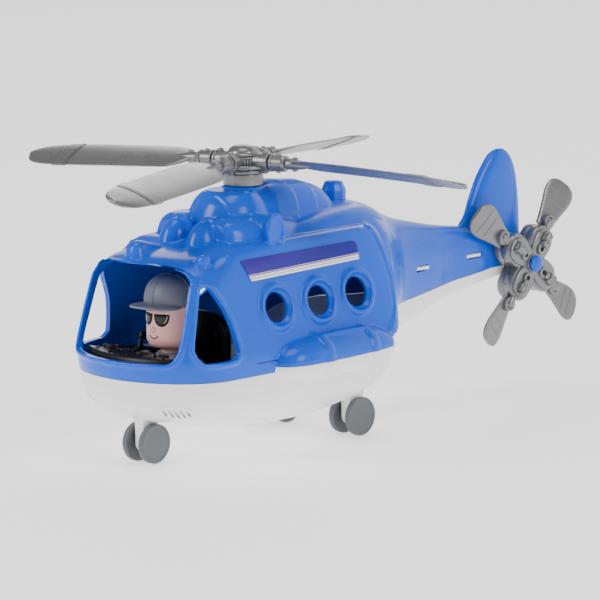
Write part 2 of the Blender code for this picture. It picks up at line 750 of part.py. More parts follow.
def main_rotor():
    sleeve_z = ROTOR_Z - 0.6
    hub = turned("main_rotor_hub", [
        (11.6, COLLAR_Z[1] + GAP), (11.6, 152.6), (8.6, 153.4), (8.6, 157.6),
        (9.4, 158.2), (9.4, 159.2), (7.8, 159.6),
    ], (0, 0, 0))
    for i in range(4):
        turn = Matrix.Rotation(ROTOR_PHASE + i * pi / 2, 4, "Z")
        pieces = [
            rod("arm", (8.4, 0, sleeve_z), (21.2, 0, sleeve_z), 4.6, 12),
            rod("neck", (20, 0, sleeve_z), (24.4, 0, sleeve_z), 2.9, 10),
            rod("sleeve", (22.6, 0, sleeve_z), (27.4, 0, sleeve_z), 4.1, 12),
            rod("bolt", (17.6, 0, sleeve_z), (17.6, 0, sleeve_z + 6.2), 1.6, 8),
        ]
        for piece in pieces:
            piece.data.transform(turn)
        combine(hub, pieces)
    combine(hub, [mast_hole(140, 156.4)], "DIFFERENCE")
    finish(hub, SILVER, 0.35, ROTOR_CENTRE)
    cap = turned("main_rotor_cap", [
        (7.6, 159.6 + GAP), (7.6, 161.4), (6.4, 164.0), (3.6, 165.8), (1.2, 166.4),
    ], (0, 0, 0), steps=20)
    finish(cap, SILVER, 0.35, ROTOR_CENTRE)
    collar = turned("main_rotor_collar", [(COLLAR_RADIUS, z) for z in COLLAR_Z], (0, 0, 0))
    combine(collar, [mast_hole(140, 155)], "DIFFERENCE")
    finish(collar, SILVER, 0.35, ROTOR_CENTRE)
    for i in range(4):
        blade = loft("main_rotor_blade_%d" % (i + 1), blade_rings())
        spar_z = ROTOR_Z - 0.6
        combine(blade, [rod("shank", (BLADE_ROOT + 0.4 + GAP, 0, spar_z), (37, 0, spar_z), 3.3, 10, 1.6)])
        turned_about_mast(blade, ROTOR_PHASE + i * pi / 2)
        finish(blade, SILVER, 0.35, ROTOR_CENTRE)
    pin = turned("mast_pin", [
        (6.0, 131.0), (6.0, 132.6), (MAST_RADIUS, 133.0), (MAST_RADIUS, 156.0),
    ], (0, 0, 0), steps=20)
    finish(pin, SILVER, 0.35, ROTOR_CENTRE)


# ---- tail rotor -----------------------------------------------------------------------------------------


def about_tail(obj, angle):
    """Turns a piece modelled with its blade along +Y round the tail shaft."""
    centre = Matrix.Translation(Vector(TAIL_CENTRE) * MM)
    obj.data.transform(centre @ Matrix.Rotation(angle, 4, "X") @ centre.inverted())
    return obj


def tail_blade_rings():
    """Sections along one tail blade that points along +Y, twisted about its own length."""
    x, y, z = TAIL_CENTRE
    plan = ((24.2, 5.6), (30, 7.6), (38, 9.4), (46, 10.1), (51, 9.0), (54, 6.6), (TAIL_RADIUS, 2.6))
    rings = []
    for r, half_width in plan:
        ring = []
        for c, t in oval(half_width, TAIL_HALF_THICKNESS, 2.6, 10):
            across = c * sin(TAIL_TWIST) + t * cos(TAIL_TWIST)
            upward = c * cos(TAIL_TWIST) - t * sin(TAIL_TWIST)
            ring.append((x + across, y + r, z + upward))
        rings.append(ring)
    return rings


def tail_rotor():
    x, y, z = TAIL_CENTRE
    back, front = x - TAIL_HUB_DEPTH / 2, x + TAIL_HUB_DEPTH / 2
    hub = rod("tail_rotor_hub", (back, y, z), (front - 1.0, y, z), 9.0, 24)
    for i in range(4):
        lobe = loft("lobe", [
            [(px, y + 14.2 + a * grow, z + b * grow) for a, b in oval(9.6, 8.4, 2.6, 14)]
            for px, grow in ((back, 1.0), (front - 2.0, 1.0), (front, 0.8))
        ])
        combine(hub, [about_tail(lobe, TAIL_PHASE + i * pi / 2)])
    combine(hub, [rod("boss", (x, y, z), (front + 0.8, y, z), 5.4, 20)])
    combine(hub, [rod("bore", (back - 5, y, z), (front + 5, y, z), TAIL_PIN_RADIUS + GAP)], "DIFFERENCE")
    finish(hub, SILVER, 0.35, TAIL_CENTRE)
    for i in range(4):
        blade = loft("tail_rotor_blade_%d" % (i + 1), tail_blade_rings())
        combine(blade, [rod("lug", (x + 1.0, y + 28, z), (x + 4.4, y + 28, z), 3.6, 10)])
        finish(about_tail(blade, TAIL_PHASE + i * pi / 2), SILVER, 0.35, TAIL_CENTRE)
    pin = rod("tail_rotor_pin", (-1.6, y, z), (front + 1.6, y, z), TAIL_PIN_RADIUS)
    combine(pin, [rod("head", (front + 0.8 + GAP, y, z), (front + 3.6, y, z), 4.2, 24, 3.4)])
    finish(pin, BLUE, 0.25, TAIL_CENTRE)


# ---- wheels ---------------------------------------------------------------------------------------------


def wheels():
    inner = WHEEL_FACE - WHEEL_WIDTH
    for name, (x, y) in LEGS.items():
        centre = (x, y, WHEEL_RADIUS)
        ends = [(x + side * AXLE_HALF_LENGTH, y, WHEEL_RADIUS) for side in (-1, 1)]
        axle = rod(name + "_axle", *ends, AXLE_RADIUS)
        finish(axle, SILVER, 0.3, centre)
        for side, which in ((1, "left"), (-1, "right")):
            wheel = turned("%s_wheel_%s" % (name, which), [
                (WHEEL_RADIUS - 0.6, inner), (WHEEL_RADIUS, inner + 0.6), (WHEEL_RADIUS, WHEEL_FACE - 0.9),
                (WHEEL_RADIUS - 0.9, WHEEL_FACE),
            ], centre, axis="X", steps=24)
            if side < 0:
                wheel.data.transform(Matrix.Rotation(pi, 4, "X"))
            mouth, end = (x + side * reach for reach in (inner - 1, AXLE_HALF_LENGTH + GAP))
            bore = rod("bore", (mouth, y, WHEEL_RADIUS), (end, y, WHEEL_RADIUS), AXLE_RADIUS + GAP)
            combine(wheel, [bore], "DIFFERENCE")
            finish(wheel, GREY, 0.4, centre)


fuselage()
sticker(1, "port_sticker")
sticker(-1, "starboard_sticker")
cockpit()
seat()
pilot()
main_rotor()
tail_rotor()
wheels()
bpy.data.collections.remove(CUTTERS)
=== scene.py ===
"""Looks of the toy helicopter: finer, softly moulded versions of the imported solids, with plastic materials.

Shapes are made in millimetres with the rotor mast at x = y = 0, the nose towards -Y, port towards +X and the
ground at z = 0. `place` turns them into metres in the frame's own coordinates.
"""

from math import cos, pi, radians, sin, sqrt, tan

import bmesh
import bpy
from mathutils import Matrix, Vector


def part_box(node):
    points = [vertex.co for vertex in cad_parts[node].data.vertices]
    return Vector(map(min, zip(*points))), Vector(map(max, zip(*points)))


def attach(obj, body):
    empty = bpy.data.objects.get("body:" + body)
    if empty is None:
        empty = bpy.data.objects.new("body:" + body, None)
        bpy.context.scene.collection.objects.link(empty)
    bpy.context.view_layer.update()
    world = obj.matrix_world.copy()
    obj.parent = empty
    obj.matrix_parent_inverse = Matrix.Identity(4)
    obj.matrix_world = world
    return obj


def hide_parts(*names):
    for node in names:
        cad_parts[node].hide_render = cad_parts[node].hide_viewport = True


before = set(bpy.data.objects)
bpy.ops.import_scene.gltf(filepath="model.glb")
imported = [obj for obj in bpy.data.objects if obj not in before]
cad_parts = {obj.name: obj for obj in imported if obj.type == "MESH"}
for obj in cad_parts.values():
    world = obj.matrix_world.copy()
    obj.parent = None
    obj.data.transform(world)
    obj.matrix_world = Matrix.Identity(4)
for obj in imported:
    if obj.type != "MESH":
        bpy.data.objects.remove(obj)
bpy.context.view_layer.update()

MM = 0.001
PIN_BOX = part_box("mast_pin")
MAST_Y = (PIN_BOX[0].y + PIN_BOX[1].y) / 2
TO_FRAME = Matrix.Translation((0, MAST_Y, 0)) @ Matrix.Scale(MM, 4)

WALL = 2.2
GAP = 0.3

# Cabin and hull
BELT_Z = 49.3
CROWN_FOOT = 100.0
WALL_LEAN = radians(12.8)
ROOF_Z = 118.4
SIDES = ((1, "port"), (-1, "starboard"))
PORTHOLE_RADIUS = 8.3
PORTHOLE_RING = 13.4
PORTHOLES = ((-21.7, 83.5), (11.0, 83.3), (41.1, 84.3))
STEP_Y = -28.9
POD_X = 47.0

# Rotors
MAST_RADIUS = 3.0
ROTOR_Z = 157.2
ARM_Z = ROTOR_Z - 0.6
ROTOR_RADIUS = 136.8
ROTOR_PHASE = radians(14.8)
BLADE_PITCH = radians(20)
BLADE_ROOT = 27.0
BLADE_THICKNESS = 2.2
BLADE_DROOP = 5.6
COLLAR_RADIUS = 11.1
COLLAR_Z = (143.6, 150.3)
TAIL_CENTRE = Vector((11.6, 220.7, 75.0))
TAIL_RADIUS = 55.6
TAIL_PHASE = radians(52.08)
TAIL_TWIST = radians(-14)
TAIL_HUB_DEPTH = 12.6
TAIL_BACK = TAIL_CENTRE.x - TAIL_HUB_DEPTH / 2
TAIL_FRONT = TAIL_CENTRE.x + TAIL_HUB_DEPTH / 2
TAIL_PIN_RADIUS = 2.2
TAIL_LUG_REACH = 28.0

# Wheels
WHEEL_RADIUS = 10.84
WHEEL_FACE = 7.83
WHEEL_WIDTH = 3.5
AXLE_RADIUS = 1.5
LEG_HALF_THICKNESS = 3.2
AXLE_HALF = 6.2
LEGS = {"front": (0.0, -75.8), "rear_port": (28.4, 56.1), "rear_starboard": (-28.4, 56.1)}

# Pilot
HANDS = ((1, "left"), (-1, "right"))
HEAD_Y = -56.2
HEAD_RADIUS = 13.4
CHIN_Z = 61.0
BRIM_Z = 84.4
NECK_RADIUS = 5.4
SHOULDER = (20.4, 50.5)

# Fineness of the moulded skins
SKIN_VOXEL = 0.8
MOST_TRIANGLES = 180000

# Surfaces: SKIN_GRAIN is the height of the moulded texture in metres
SKIN_GRAIN = 0.00004
PLASTIC_IOR = 1.36


# ---- building blocks ------------------------------------------------------------------------------------


def spaced(start, end, count):
    return [start + (end - start) * i / (count - 1) for i in range(count)]


def spline_spans(a, b, c, d, per_span):
    """Catmull-Rom points from b up to, but without, c."""
    made = []
    for k in range(per_span):
        t = k / per_span
        made.append(tuple(
            0.5 * (
                2 * q + (r - p) * t + (2 * p - 5 * q + 4 * r - s) * t * t
                + (3 * q - p - 3 * r + s) * t ** 3
            )
            for p, q, r, s in zip(a, b, c, d)
        ))
    return made


def curve_through(rows, per_span):
    """Catmull-Rom rows between the given rows, with per_span new rows for each span."""
    made = []
    last = len(rows) - 1
    for i in range(last):
        made += spline_spans(rows[max(i - 1, 0)], rows[i], rows[i + 1], rows[min(i + 2, last)], per_span)
    made.append(tuple(rows[-1]))
    return made


def closed_curve(points, per_span=6):
    """A smooth closed outline through the points."""
    ring = [points[-1]] + list(points) + [points[0], points[1]]
    made = []
    for i in range(1, len(points) + 1):
        made += spline_spans(ring[i - 1], ring[i], ring[i + 1], ring[i + 2], per_span)
    return made


def grown(outline, margin):
    """A closed outline moved outwards by margin."""
    area = sum(a[0] * b[1] - b[0] * a[1] for a, b in zip(outline, outline[1:] + outline[:1]))
    turn = 1 if area > 0 else -1
    made = []
    for before, here, after in zip(outline[-1:] + outline[:-1], outline, outline[1:] + outline[:1]):
        along = Vector((after[0] - before[0], after[1] - before[1])).normalized()
        made.append((here[0] + along.y * margin * turn, here[1] - along.x * margin * turn))
    return made


def new_object(name, data):
    obj = bpy.data.objects.new(name, data)
    bpy.context.scene.collection.objects.link(obj)
    return obj


def solid(name, points, faces):
    mesh = bpy.data.meshes.new(name)
    mesh.from_pydata([tuple(p) for p in points], [], faces)
    shape = bmesh.new()
    shape.from_mesh(mesh)
    bmesh.ops.recalc_face_normals(shape, faces=shape.faces)
    bmesh.ops.triangulate(shape, faces=[f for f in shape.faces if len(f.verts) > 4])
    shape.to_mesh(mesh)
    shape.free()
    return new_object(name, mesh)


def loft(name, rings):
    """A closed skin over rings of equal point count."""
    count = len(rings[0])
    points = [point for ring in rings for point in ring]
    faces = [list(range(count)), list(range((len(rings) - 1) * count, len(rings) * count))]
    for r in range(len(rings) - 1):
        for i in range(count):
            j = (i + 1) % count
            faces.append([r * count + i, r * count + j, (r + 1) * count + j, (r + 1) * count + i])
    return solid(name, points, faces)


def oval(half_a, half_b, exponent=2.0, count=48):
    points = []
    for i in range(count):
        c, s = cos(2 * pi * i / count), sin(2 * pi * i / count)
        a = half_a * abs(c) ** (2 / exponent) * (1 if c >= 0 else -1)
        b = half_b * abs(s) ** (2 / exponent) * (1 if s >= 0 else -1)
        points.append((a, b))
    return points


def lengthwise(name, stations, exponent=2.0, centre_x=0.0, inset=0.0, count=48, per_span=4):
    """A body lofted along Y. Each station is (y, half width, lowest z, highest z)."""
    first, last = stations[0][0], stations[-1][0]
    squeeze = (last - first - 2 * inset) / (last - first)
    rings = []
    for y, half_width, low, high in curve_through(stations, per_span):
        y = first + inset + (y - first) * squeeze
        half_height = max((high - low) / 2 - inset, 0.6)
        section = oval(max(half_width - inset, 0.6), half_height, exponent, count)
        rings.append([(centre_x + a, y, (low + high) / 2 + b) for a, b in section])
    return loft(name, rings)


def basis(direction):
    """Two unit vectors across a direction."""
    along = Vector(direction).normalized()
    aside = along.cross(Vector((0, 0, 1)) if abs(along.z) < 0.9 else Vector((1, 0, 0))).normalized()
    return along, aside, aside.cross(along)


def turned(name, profile, centre=(0, 0, 0), direction=(0, 0, 1), steps=48):
    """A solid of revolution from (radius, height) pairs, turned round direction at centre."""
    along, aside, up = basis(direction)
    centre = Vector(centre)
    rings = []
    for radius, height in profile:
        middle = centre + along * height
        rings.append([
            middle + aside * (radius * cos(2 * pi * i / steps)) + up * (radius * sin(2 * pi * i / steps))
            for i in range(steps)
        ])
    return loft(name, rings)


def eased(profile, radius, steps=3):
    """The profile with each of its inner corners rounded off."""
    made = [profile[0]]
    for before, here, after in zip(profile, profile[1:], profile[2:]):
        here_v = Vector(here)
        to_before, to_after = Vector(before) - here_v, Vector(after) - here_v
        reach = min(radius, to_before.length * 0.45, to_after.length * 0.45)
        start, end = here_v + to_before.normalized() * reach, here_v + to_after.normalized() * reach
        for t in spaced(0, 1, steps + 1):
            made.append(tuple(start.lerp(here_v, t).lerp(here_v.lerp(end, t), t)))
    made.append(profile[-1])
    return made


def rod(name, start, end, radius, sides=32, end_radius=None, edge=0.35):
    """A round bar between two points, with softened rims and an optional taper."""
    start, end = Vector(start), Vector(end)
    length = (end - start).length
    last = radius if end_radius is None else end_radius
    edge = min(edge, radius * 0.6, last * 0.6, length * 0.4)
    profile = [(radius - edge, 0), (radius - edge * 0.3, edge * 0.3), (radius, edge)]
    profile += [(last, length - edge), (last - edge * 0.3, length - edge * 0.3), (last - edge, length)]
    return turned(name, profile, start, end - start, sides)


def ball(name, centre, halves, segments=48, rings=24):
    shape = bmesh.new()
    bmesh.ops.create_uvsphere(shape, u_segments=segments, v_segments=rings, radius=1.0)
    bmesh.ops.scale(shape, vec=halves, verts=shape.verts)
    bmesh.ops.translate(shape, vec=centre, verts=shape.verts)
    mesh = bpy.data.meshes.new(name)
    shape.to_mesh(mesh)
    shape.free()
    return new_object(name, mesh)


def limb(name, points, radii, sides=24, per_span=6, flat=1.0):
    """A smooth bar through the points, with a radius at each and round ends."""
    rows = curve_through([(*p, r) for p, r in zip(points, radii)], per_span)
    places = [Vector(row[:3]) for row in rows]
    ends = []
    for tip, inner, radius in ((places[0], places[1], rows[0][3]), (places[-1], places[-2], rows[-1][3])):
        outward = (tip - inner).normalized()
        ends.append([
            (tip + outward * (radius * 0.9 * sin(t)), radius * cos(t))
            for t in (radians(30), radians(58), radians(82))
        ])
    spine = list(reversed(ends[0])) + [(p, row[3]) for p, row in zip(places, rows)] + ends[1]
    rings = []
    aside = basis(spine[1][0] - spine[0][0])[1]
    for i, (here, radius) in enumerate(spine):
        along = (spine[min(i + 1, len(spine) - 1)][0] - spine[max(i - 1, 0)][0]).normalized()
        aside = (aside - along * aside.dot(along)).normalized()
        up = along.cross(aside)
        rings.append([
            here + aside * (radius * cos(2 * pi * k / sides)) + up * (radius * flat * sin(2 * pi * k / sides))
            for k in range(sides)
        ])
    return loft(name, rings)


def slab(name, outline, axis, low, high):
    """A flat outline in the other two coordinates, extruded along axis."""
    place_of = {
        "X": lambda a, b, t: (t, a, b),
        "Y": lambda a, b, t: (a, t, b),
        "Z": lambda a, b, t: (a, b, t),
    }[axis]
    return loft(name, [[place_of(a, b, t) for a, b in outline] for t in (low, high)])


def box(name, low, high, edge=0.0):
    xs, ys, zs = zip(low, high)
    obj = slab(name, [(xs[0], ys[0]), (xs[1], ys[0]), (xs[1], ys[1]), (xs[0], ys[1])], "Z", *zs)
    return bevelled(obj, edge) if edge else obj


def modified(obj, kind, **settings):
    """Applies one modifier to obj and leaves the result as its mesh."""
    step = obj.modifiers.new(kind.lower(), kind)
    for key, value in settings.items():
        setattr(step, key, value)
    bpy.context.view_layer.update()
    mesh = bpy.data.meshes.new_from_object(obj.evaluated_get(bpy.context.evaluated_depsgraph_get()))
    obj.modifiers.clear()
    old = obj.data
    obj.data = mesh
    bpy.data.meshes.remove(old)
    return obj


def bevelled(obj, width, segments=3, angle=40):
    return modified(
        obj, "BEVEL", width=width, segments=segments, limit_method="ANGLE", angle_limit=radians(angle),
    )


def combine(obj, others, operation="UNION"):
    """Joins to obj, or cuts from it, each of the others, which are used up."""
    for other in others:
        before = len(obj.data.polygons)
        kept = obj.data.copy()
        modified(obj, "BOOLEAN", operation=operation, object=other, solver="MANIFOLD")
        if before and not obj.data.polygons:
            obj.data = kept
            modified(obj, "BOOLEAN", operation=operation, object=other, solver="EXACT")
        bpy.data.objects.remove(other, do_unlink=True)
    return obj


def carve(obj, cutters):
    return combine(obj, cutters, "DIFFERENCE")


def copied(obj, name):
    other = new_object(name, obj.data.copy())
    other.matrix_world = obj.matrix_world
    return other


def moulded(obj, voxel, passes):
    """Re-skins obj evenly and relaxes it, which rounds its creases as a mould does."""
    modified(obj, "REMESH", mode="VOXEL", voxel_size=voxel, adaptivity=0.0)
    return modified(obj, "SMOOTH", factor=0.5, iterations=passes)


def thinned(obj):
    """Brings a skin down to at most MOST_TRIANGLES triangles."""
    triangles = sum(len(p.vertices) - 2 for p in obj.data.polygons)
    if triangles > MOST_TRIANGLES:
        modified(obj, "DECIMATE", ratio=MOST_TRIANGLES / triangles)
    return obj


def paint(obj, material):
    obj.data.materials.clear()
    obj.data.materials.append(material)


def place(obj, name, body, material, replaces=None, sharp=None):
    """Puts a finished shape into the frame as a named piece."""
    obj.data.transform(TO_FRAME)
    obj.name = name
    obj.data.name = name
    paint(obj, material)
    obj.data.shade_smooth()
    if sharp:
        obj.data.set_sharp_from_angle(angle=radians(sharp))
    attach(obj, body)
    if replaces:
        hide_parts(replaces)
    return obj


# ---- materials ------------------------------------------------------------------------------------------


class Nodes:
    """Short calls for building a material's node tree."""

    def __init__(self, name):
        self.material = bpy.data.materials.new(name)
        self.material.use_nodes = True
        self.tree = self.material.node_tree
        self.shader = self.tree.nodes["Principled BSDF"]
        self.where = self.node("ShaderNodeTexCoord", {}, "Object")

    def fill(self, node, inputs):
        """Gives each named input of a node its number or colour, or the output that feeds it."""
        for key, value in inputs.items():
            if isinstance(value, bpy.types.NodeSocket):
                self.tree.links.new(value, node.inputs[key])
            else:
                node.inputs[key].default_value = value

    def node(self, kind, inputs, output, **settings):
        made = self.tree.nodes.new(kind)
        for key, value in settings.items():
            setattr(made, key, value)
        self.fill(made, inputs)
        return made.outputs[output]

    def surface(self, **inputs):
        """Fills the shader's inputs; an underscore stands for the space in their names."""
        self.fill(self.shader, {key.replace("_", " "): value for key, value in inputs.items()})
        return self.material

    def noise(self, scale, detail, stretch=None):
        where = self.where
        if stretch:
            where = self.node("ShaderNodeMapping", {"Scale": stretch, "Vector": where}, "Vector")
        inputs = {"Scale": scale, "Detail": detail, "Roughness": 0.55, "Vector": where}
        return self.node("ShaderNodeTexNoise", inputs, "Fac")

    def ranged(self, value, low, high, start=0.3, end=0.7):
        inputs = {"Value": value, "From Min": start, "From Max": end, "To Min": low, "To Max": high}
        return self.node("ShaderNodeMapRange", inputs, "Result")

    def math(self, operation, a, b):
        return self.node("ShaderNodeMath", {0: a, 1: b}, "Value", operation=operation)

    def mixed(self, factor, a, b):
        a, b = ((*c, 1) if isinstance(c, tuple) else c for c in (a, b))
        return self.node("ShaderNodeMix", {"Factor": factor, "A": a, "B": b}, "Result", data_type="RGBA")

    def bump(self, height, strength, distance):
        inputs = {"Strength": strength, "Distance": distance, "Height": height}
        return self.node("ShaderNodeBump", inputs, "Normal")


def plastic(name, colour, roughness, glow=0.0, shift=0.06):
    """Moulded plastic: faint flow marks in its colour, uneven gloss, fine scratches and a pebbled skin."""
    n = Nodes(name)
    dark = tuple(c * (1 - shift) for c in colour)
    light = tuple(min(1, c * (1 + shift)) for c in colour)
    flow = n.noise(14, 3.0, (1.0, 0.4, 1.0))
    handled = n.ranged(n.noise(45, 5.0), roughness * 0.85, roughness * 1.25)
    scratches = n.ranged(n.noise(600, 2.0, (1.0, 0.06, 0.3)), 0.0, 0.06, 0.58, 0.72)
    peel = n.math("ADD", n.noise(420, 2.0), n.math("MULTIPLY", n.noise(90, 2.0), 1.5))
    return n.surface(
        Base_Color=n.mixed(n.ranged(flow, 0, 1), dark, light),
        Roughness=n.math("ADD", handled, scratches),
        Normal=n.bump(peel, 0.3, SKIN_GRAIN),
        IOR=PLASTIC_IOR,
        Subsurface_Weight=glow,
        Subsurface_Scale=0.002,
    )


def silver_plastic(name, colour):
    """Grey plastic with a fine metallic pigment."""
    n = Nodes(name)
    speck = n.node("ShaderNodeTexVoronoi", {"Scale": 2600, "Vector": n.where}, "Distance")
    flecks = n.ranged(speck, 0, 1, 0.1, 0.6)
    dark = tuple(c * 0.86 for c in colour)
    light = tuple(c * 1.12 for c in colour)
    cloudy = n.mixed(n.ranged(n.noise(18, 3.0), 0, 1), dark, light)
    return n.surface(
        Base_Color=n.mixed(n.math("MULTIPLY", flecks, 0.25), cloudy, light),
        Roughness=n.ranged(n.noise(60, 4.0), 0.24, 0.36),
        Metallic=0.6,
        Normal=n.bump(n.noise(500, 2.0), 0.3, SKIN_GRAIN),
    )


def steel(name):
    n = Nodes(name)
    drawn = n.noise(900, 3.0, (0.03, 1.0, 1.0))
    return n.surface(
        Base_Color=n.mixed(n.ranged(drawn, 0, 1), (0.42, 0.42, 0.43), (0.62, 0.62, 0.63)),
        Roughness=n.ranged(drawn, 0.22, 0.42),
        Metallic=1.0,
        Normal=n.bump(drawn, 0.3, 0.00003),
    )


def sticker_film(name):
    """Glossy printed film: blue turning violet, with two white bands between thin lines along its foot."""
    n = Nodes(name)
    along, up = (n.node("ShaderNodeSeparateXYZ", {"Vector": n.where}, axis) for axis in "YZ")
    along = n.math("SUBTRACT", along, MAST_Y)
    height = n.math("SUBTRACT", n.math("MULTIPLY", up, 1000), n.math("MULTIPLY", along, 24.0))
    blue = n.mixed(n.ranged(along, 0, 1, -0.044, 0.047), (0.05, 0.025, 0.30), (0.006, 0.009, 0.24))
    colour = n.mixed(n.ranged(n.noise(60, 3.0), 0.0, 0.1), blue, (0.06, 0.05, 0.4))
    bands = (
        (99.4, 100.1, (0.05, 0.02, 0.12)),
        (100.1, 101.3, (0.86, 0.86, 0.88)),
        (101.3, 101.6, (0.30, 0.05, 0.16)),
        (101.6, 102.7, (0.86, 0.86, 0.88)),
        (102.7, 103.0, (0.33, 0.05, 0.12)),
        (103.3, 103.6, (0.72, 0.72, 0.80)),
    )
    for low, high, paint in bands:
        inside = n.math("MULTIPLY", n.math("GREATER_THAN", height, low), n.math("LESS_THAN", height, high))
        colour = n.mixed(inside, colour, paint)
    return n.surface(
        Base_Color=colour,
        Roughness=n.ranged(n.noise(80, 4.0), 0.16, 0.28),
        IOR=1.3,
        Normal=n.bump(n.noise(110, 3.0), 0.25, 0.00006),
    )


BLUE = plastic("blue_gloss", (0.001, 0.09, 0.66), 0.2)
WHITE = plastic("white_gloss", (0.90, 0.90, 0.90), 0.24, shift=0.02)
SILVER = silver_plastic("silver_plastic", (0.2, 0.2, 0.205))
WHEEL_GREY = plastic("wheel_plastic", (0.11, 0.117, 0.127), 0.42)
BLACK = plastic("black_satin", (0.007, 0.007, 0.008), 0.34, shift=0.15)
SKIN = plastic("skin_plastic", (0.97, 0.52, 0.50), 0.42, shift=0.03, glow=0.12)
CLOTH = plastic("grey_satin", (0.17, 0.18, 0.21), 0.4)
INK = plastic("printed_black", (0.006, 0.006, 0.006), 0.35)
LENS = plastic("printed_lens", (0.03, 0.03, 0.022), 0.3, shift=0.3)
# Painted highlight: a pale colour for a thin arc on each sunglasses lens, standing in for the glossy lens's
# reflection
PAINTED_LENS_HIGHLIGHT = plastic("painted_lens_highlight", (0.75, 0.72, 0.70), 0.35)
LIPS = plastic("printed_line", (0.03, 0.006, 0.005), 0.4)
NOSE_LINE = plastic("printed_nose", (0.20, 0.06, 0.05), 0.4)
STEEL = steel("drawn_steel")
FILM = sticker_film("sticker_film")


# ---- fuselage -------------------------------------------------------------------------------------------


def wall_x(z):
    """Half width of the cabin's leaning side at height z."""
    return 50.6 - tan(WALL_LEAN) * (z - 66.0)


def wall_out(side):
    return Vector((side * cos(WALL_LEAN), 0, sin(WALL_LEAN)))


# Level plans of the cabin and hull: (z, half width, nose y, nose length, rear y)
LEVELS = (
    (12.8, 12.0, -8.0, 16.0, 32.0),
    (14.2, 21.0, -32.0, 30.0, 38.0),
    (17.5, 29.0, -52.0, 42.0, 45.0),
    (22.0, 36.0, -73.0, 42.0, 54.0),
    (27.0, 42.5, -88.5, 40.0, 64.0),
    (34.0, 48.0, -97.0, 39.4, 72.0),
    (42.0, 50.8, -100.6, 39.4, 76.0),
    (BELT_Z, 51.6, -101.8, 39.8, 77.0),
    (54.0, 52.0, -103.0, 41.0, 78.6),
    (60.0, 51.9, -103.0, 41.0, 80.2),
    (66.0, 50.6, -101.8, 39.8, 81.5),
    (84.0, 46.5, -97.9, 36.4, 83.0),
    (99.0, 43.1, -94.0, 33.0, 80.0),
    (107.0, 41.3, -91.4, 36.0, 77.4),
    (111.5, 40.3, -89.4, 44.0, 75.4),
    (114.6, 39.2, -86.6, 52.0, 73.4),
    (116.9, 37.2, -80.0, 58.0, 71.0),
    (118.0, 33.8, -70.0, 58.0, 66.0),
    (ROOF_Z, 28.0, -56.0, 48.0, 58.0),
)
REAR_LENGTH = 20.0


def level_plan(z, half_width, nose_y, nose_length, rear_y, inset=0.0):
    """One level: an elliptical nose, straight sides and a squarer rounded rear."""
    nose_steps, side_steps, rear_steps = 30, 16, 14
    half_width -= inset
    nose_centre = nose_y + nose_length
    nose_length -= inset
    rear_centre = rear_y - REAR_LENGTH
    rear_length = REAR_LENGTH - inset
    half = []
    for i in range(nose_steps):
        t = pi / 2 * i / nose_steps
        half.append((half_width * sin(t), nose_centre - nose_length * cos(t)))
    for i in range(side_steps):
        half.append((half_width, nose_centre + (rear_centre - nose_centre) * i / side_steps))
    for i in range(rear_steps + 1):
        t = pi / 2 * i / rear_steps
        half.append((half_width * cos(t) ** 0.7, rear_centre + rear_length * sin(t) ** 0.7))
    half[-1] = (0.0, half[-1][1])
    other = [(-x, y) for x, y in reversed(half[1:-1])]
    return [(x, y, z) for x, y in half + other]


def crowned(point, inset):
    """Lowers the front of the roof, which is domed across and rises towards the mast."""
    x, y, z = point
    reach = abs(x) + inset
    share = min(1.0, max(0.0, (-38.0 - 0.2 * reach - y) / 16.0))
    share *= share * (3 - 2 * share)
    above = max(0.0, z + inset - CROWN_FOOT)
    return (x, y, z - above * share * (0.1 + 0.006 * reach))


def cabin(name, inset=0.0, per_span=3):
    middle = (LEVELS[0][0] + LEVELS[-1][0]) / 2
    squeeze = 1 - inset / (LEVELS[-1][0] - middle)
    rings = []
    for z, *plan in curve_through(LEVELS, per_span):
        ring = level_plan(middle + (z - middle) * squeeze, *plan, inset=inset)
        rings.append([crowned(point, inset) for point in ring])
    return loft(name, rings)


def plan_at(z):
    """(half width, nose y, nose length, rear y) of the cabin at height z."""
    for low, high in zip(LEVELS, LEVELS[1:]):
        if low[0] <= z <= high[0]:
            t = (z - low[0]) / (high[0] - low[0])
            return [a + (b - a) * t for a, b in zip(low[1:], high[1:])]
    return LEVELS[-1][1:]


def nose_point(x, z):
    """The point of the cabin's rounded nose at x and z."""
    half_width, nose_y, nose_length, _ = plan_at(z)
    round_part = sqrt(max(0.0, 1 - (x / half_width) ** 2))
    return Vector(crowned((x, nose_y + nose_length * (1 - round_part), z), 0.0))


def side_point(side, y, z):
    """The point of the cabin's side at y and z, on its nose or its straight wall."""
    half_width, nose_y, nose_length, _ = plan_at(z)
    ahead = max(0.0, nose_y + nose_length - y) / nose_length
    return Vector((side * half_width * sqrt(max(0.0, 1 - ahead * ahead)), y, z))


BOOM = (
    (48.0, 34.0, 52.0, 118.0), (62.0, 43.0, 40.0, 123.5), (75.0, 42.0, 41.0, 124.5),
    (85.0, 36.0, 42.6, 122.5), (96.0, 27.5, 44.2, 118.6), (108.0, 21.0, 46.4, 114.6),
    (125.0, 16.4, 50.6, 110.0), (145.0, 12.0, 56.2, 105.4), (162.0, 8.0, 60.6, 102.2),
    (190.0, 6.4, 65.2, 98.6), (198.0, 5.0, 66.2, 98.0), (210.0, 4.6, 67.4, 97.0), (222.0, 4.4, 69.0, 94.5),
    (228.0, 3.4, 71.5, 90.0),
)
COWL = (
    (-40.0, 12.0, 104.0, 118.6), (-34.0, 22.0, 104.0, 120.4), (-20.0, 29.0, 104.0, 122.6),
    (5.0, 32.0, 104.0, 124.8), (35.0, 32.0, 104.0, 127.0), (62.0, 30.0, 104.0, 128.4),
    (82.0, 25.0, 104.0, 126.2), (100.0, 16.0, 100.0, 118.4), (118.0, 8.0, 98.0, 111.5),
)
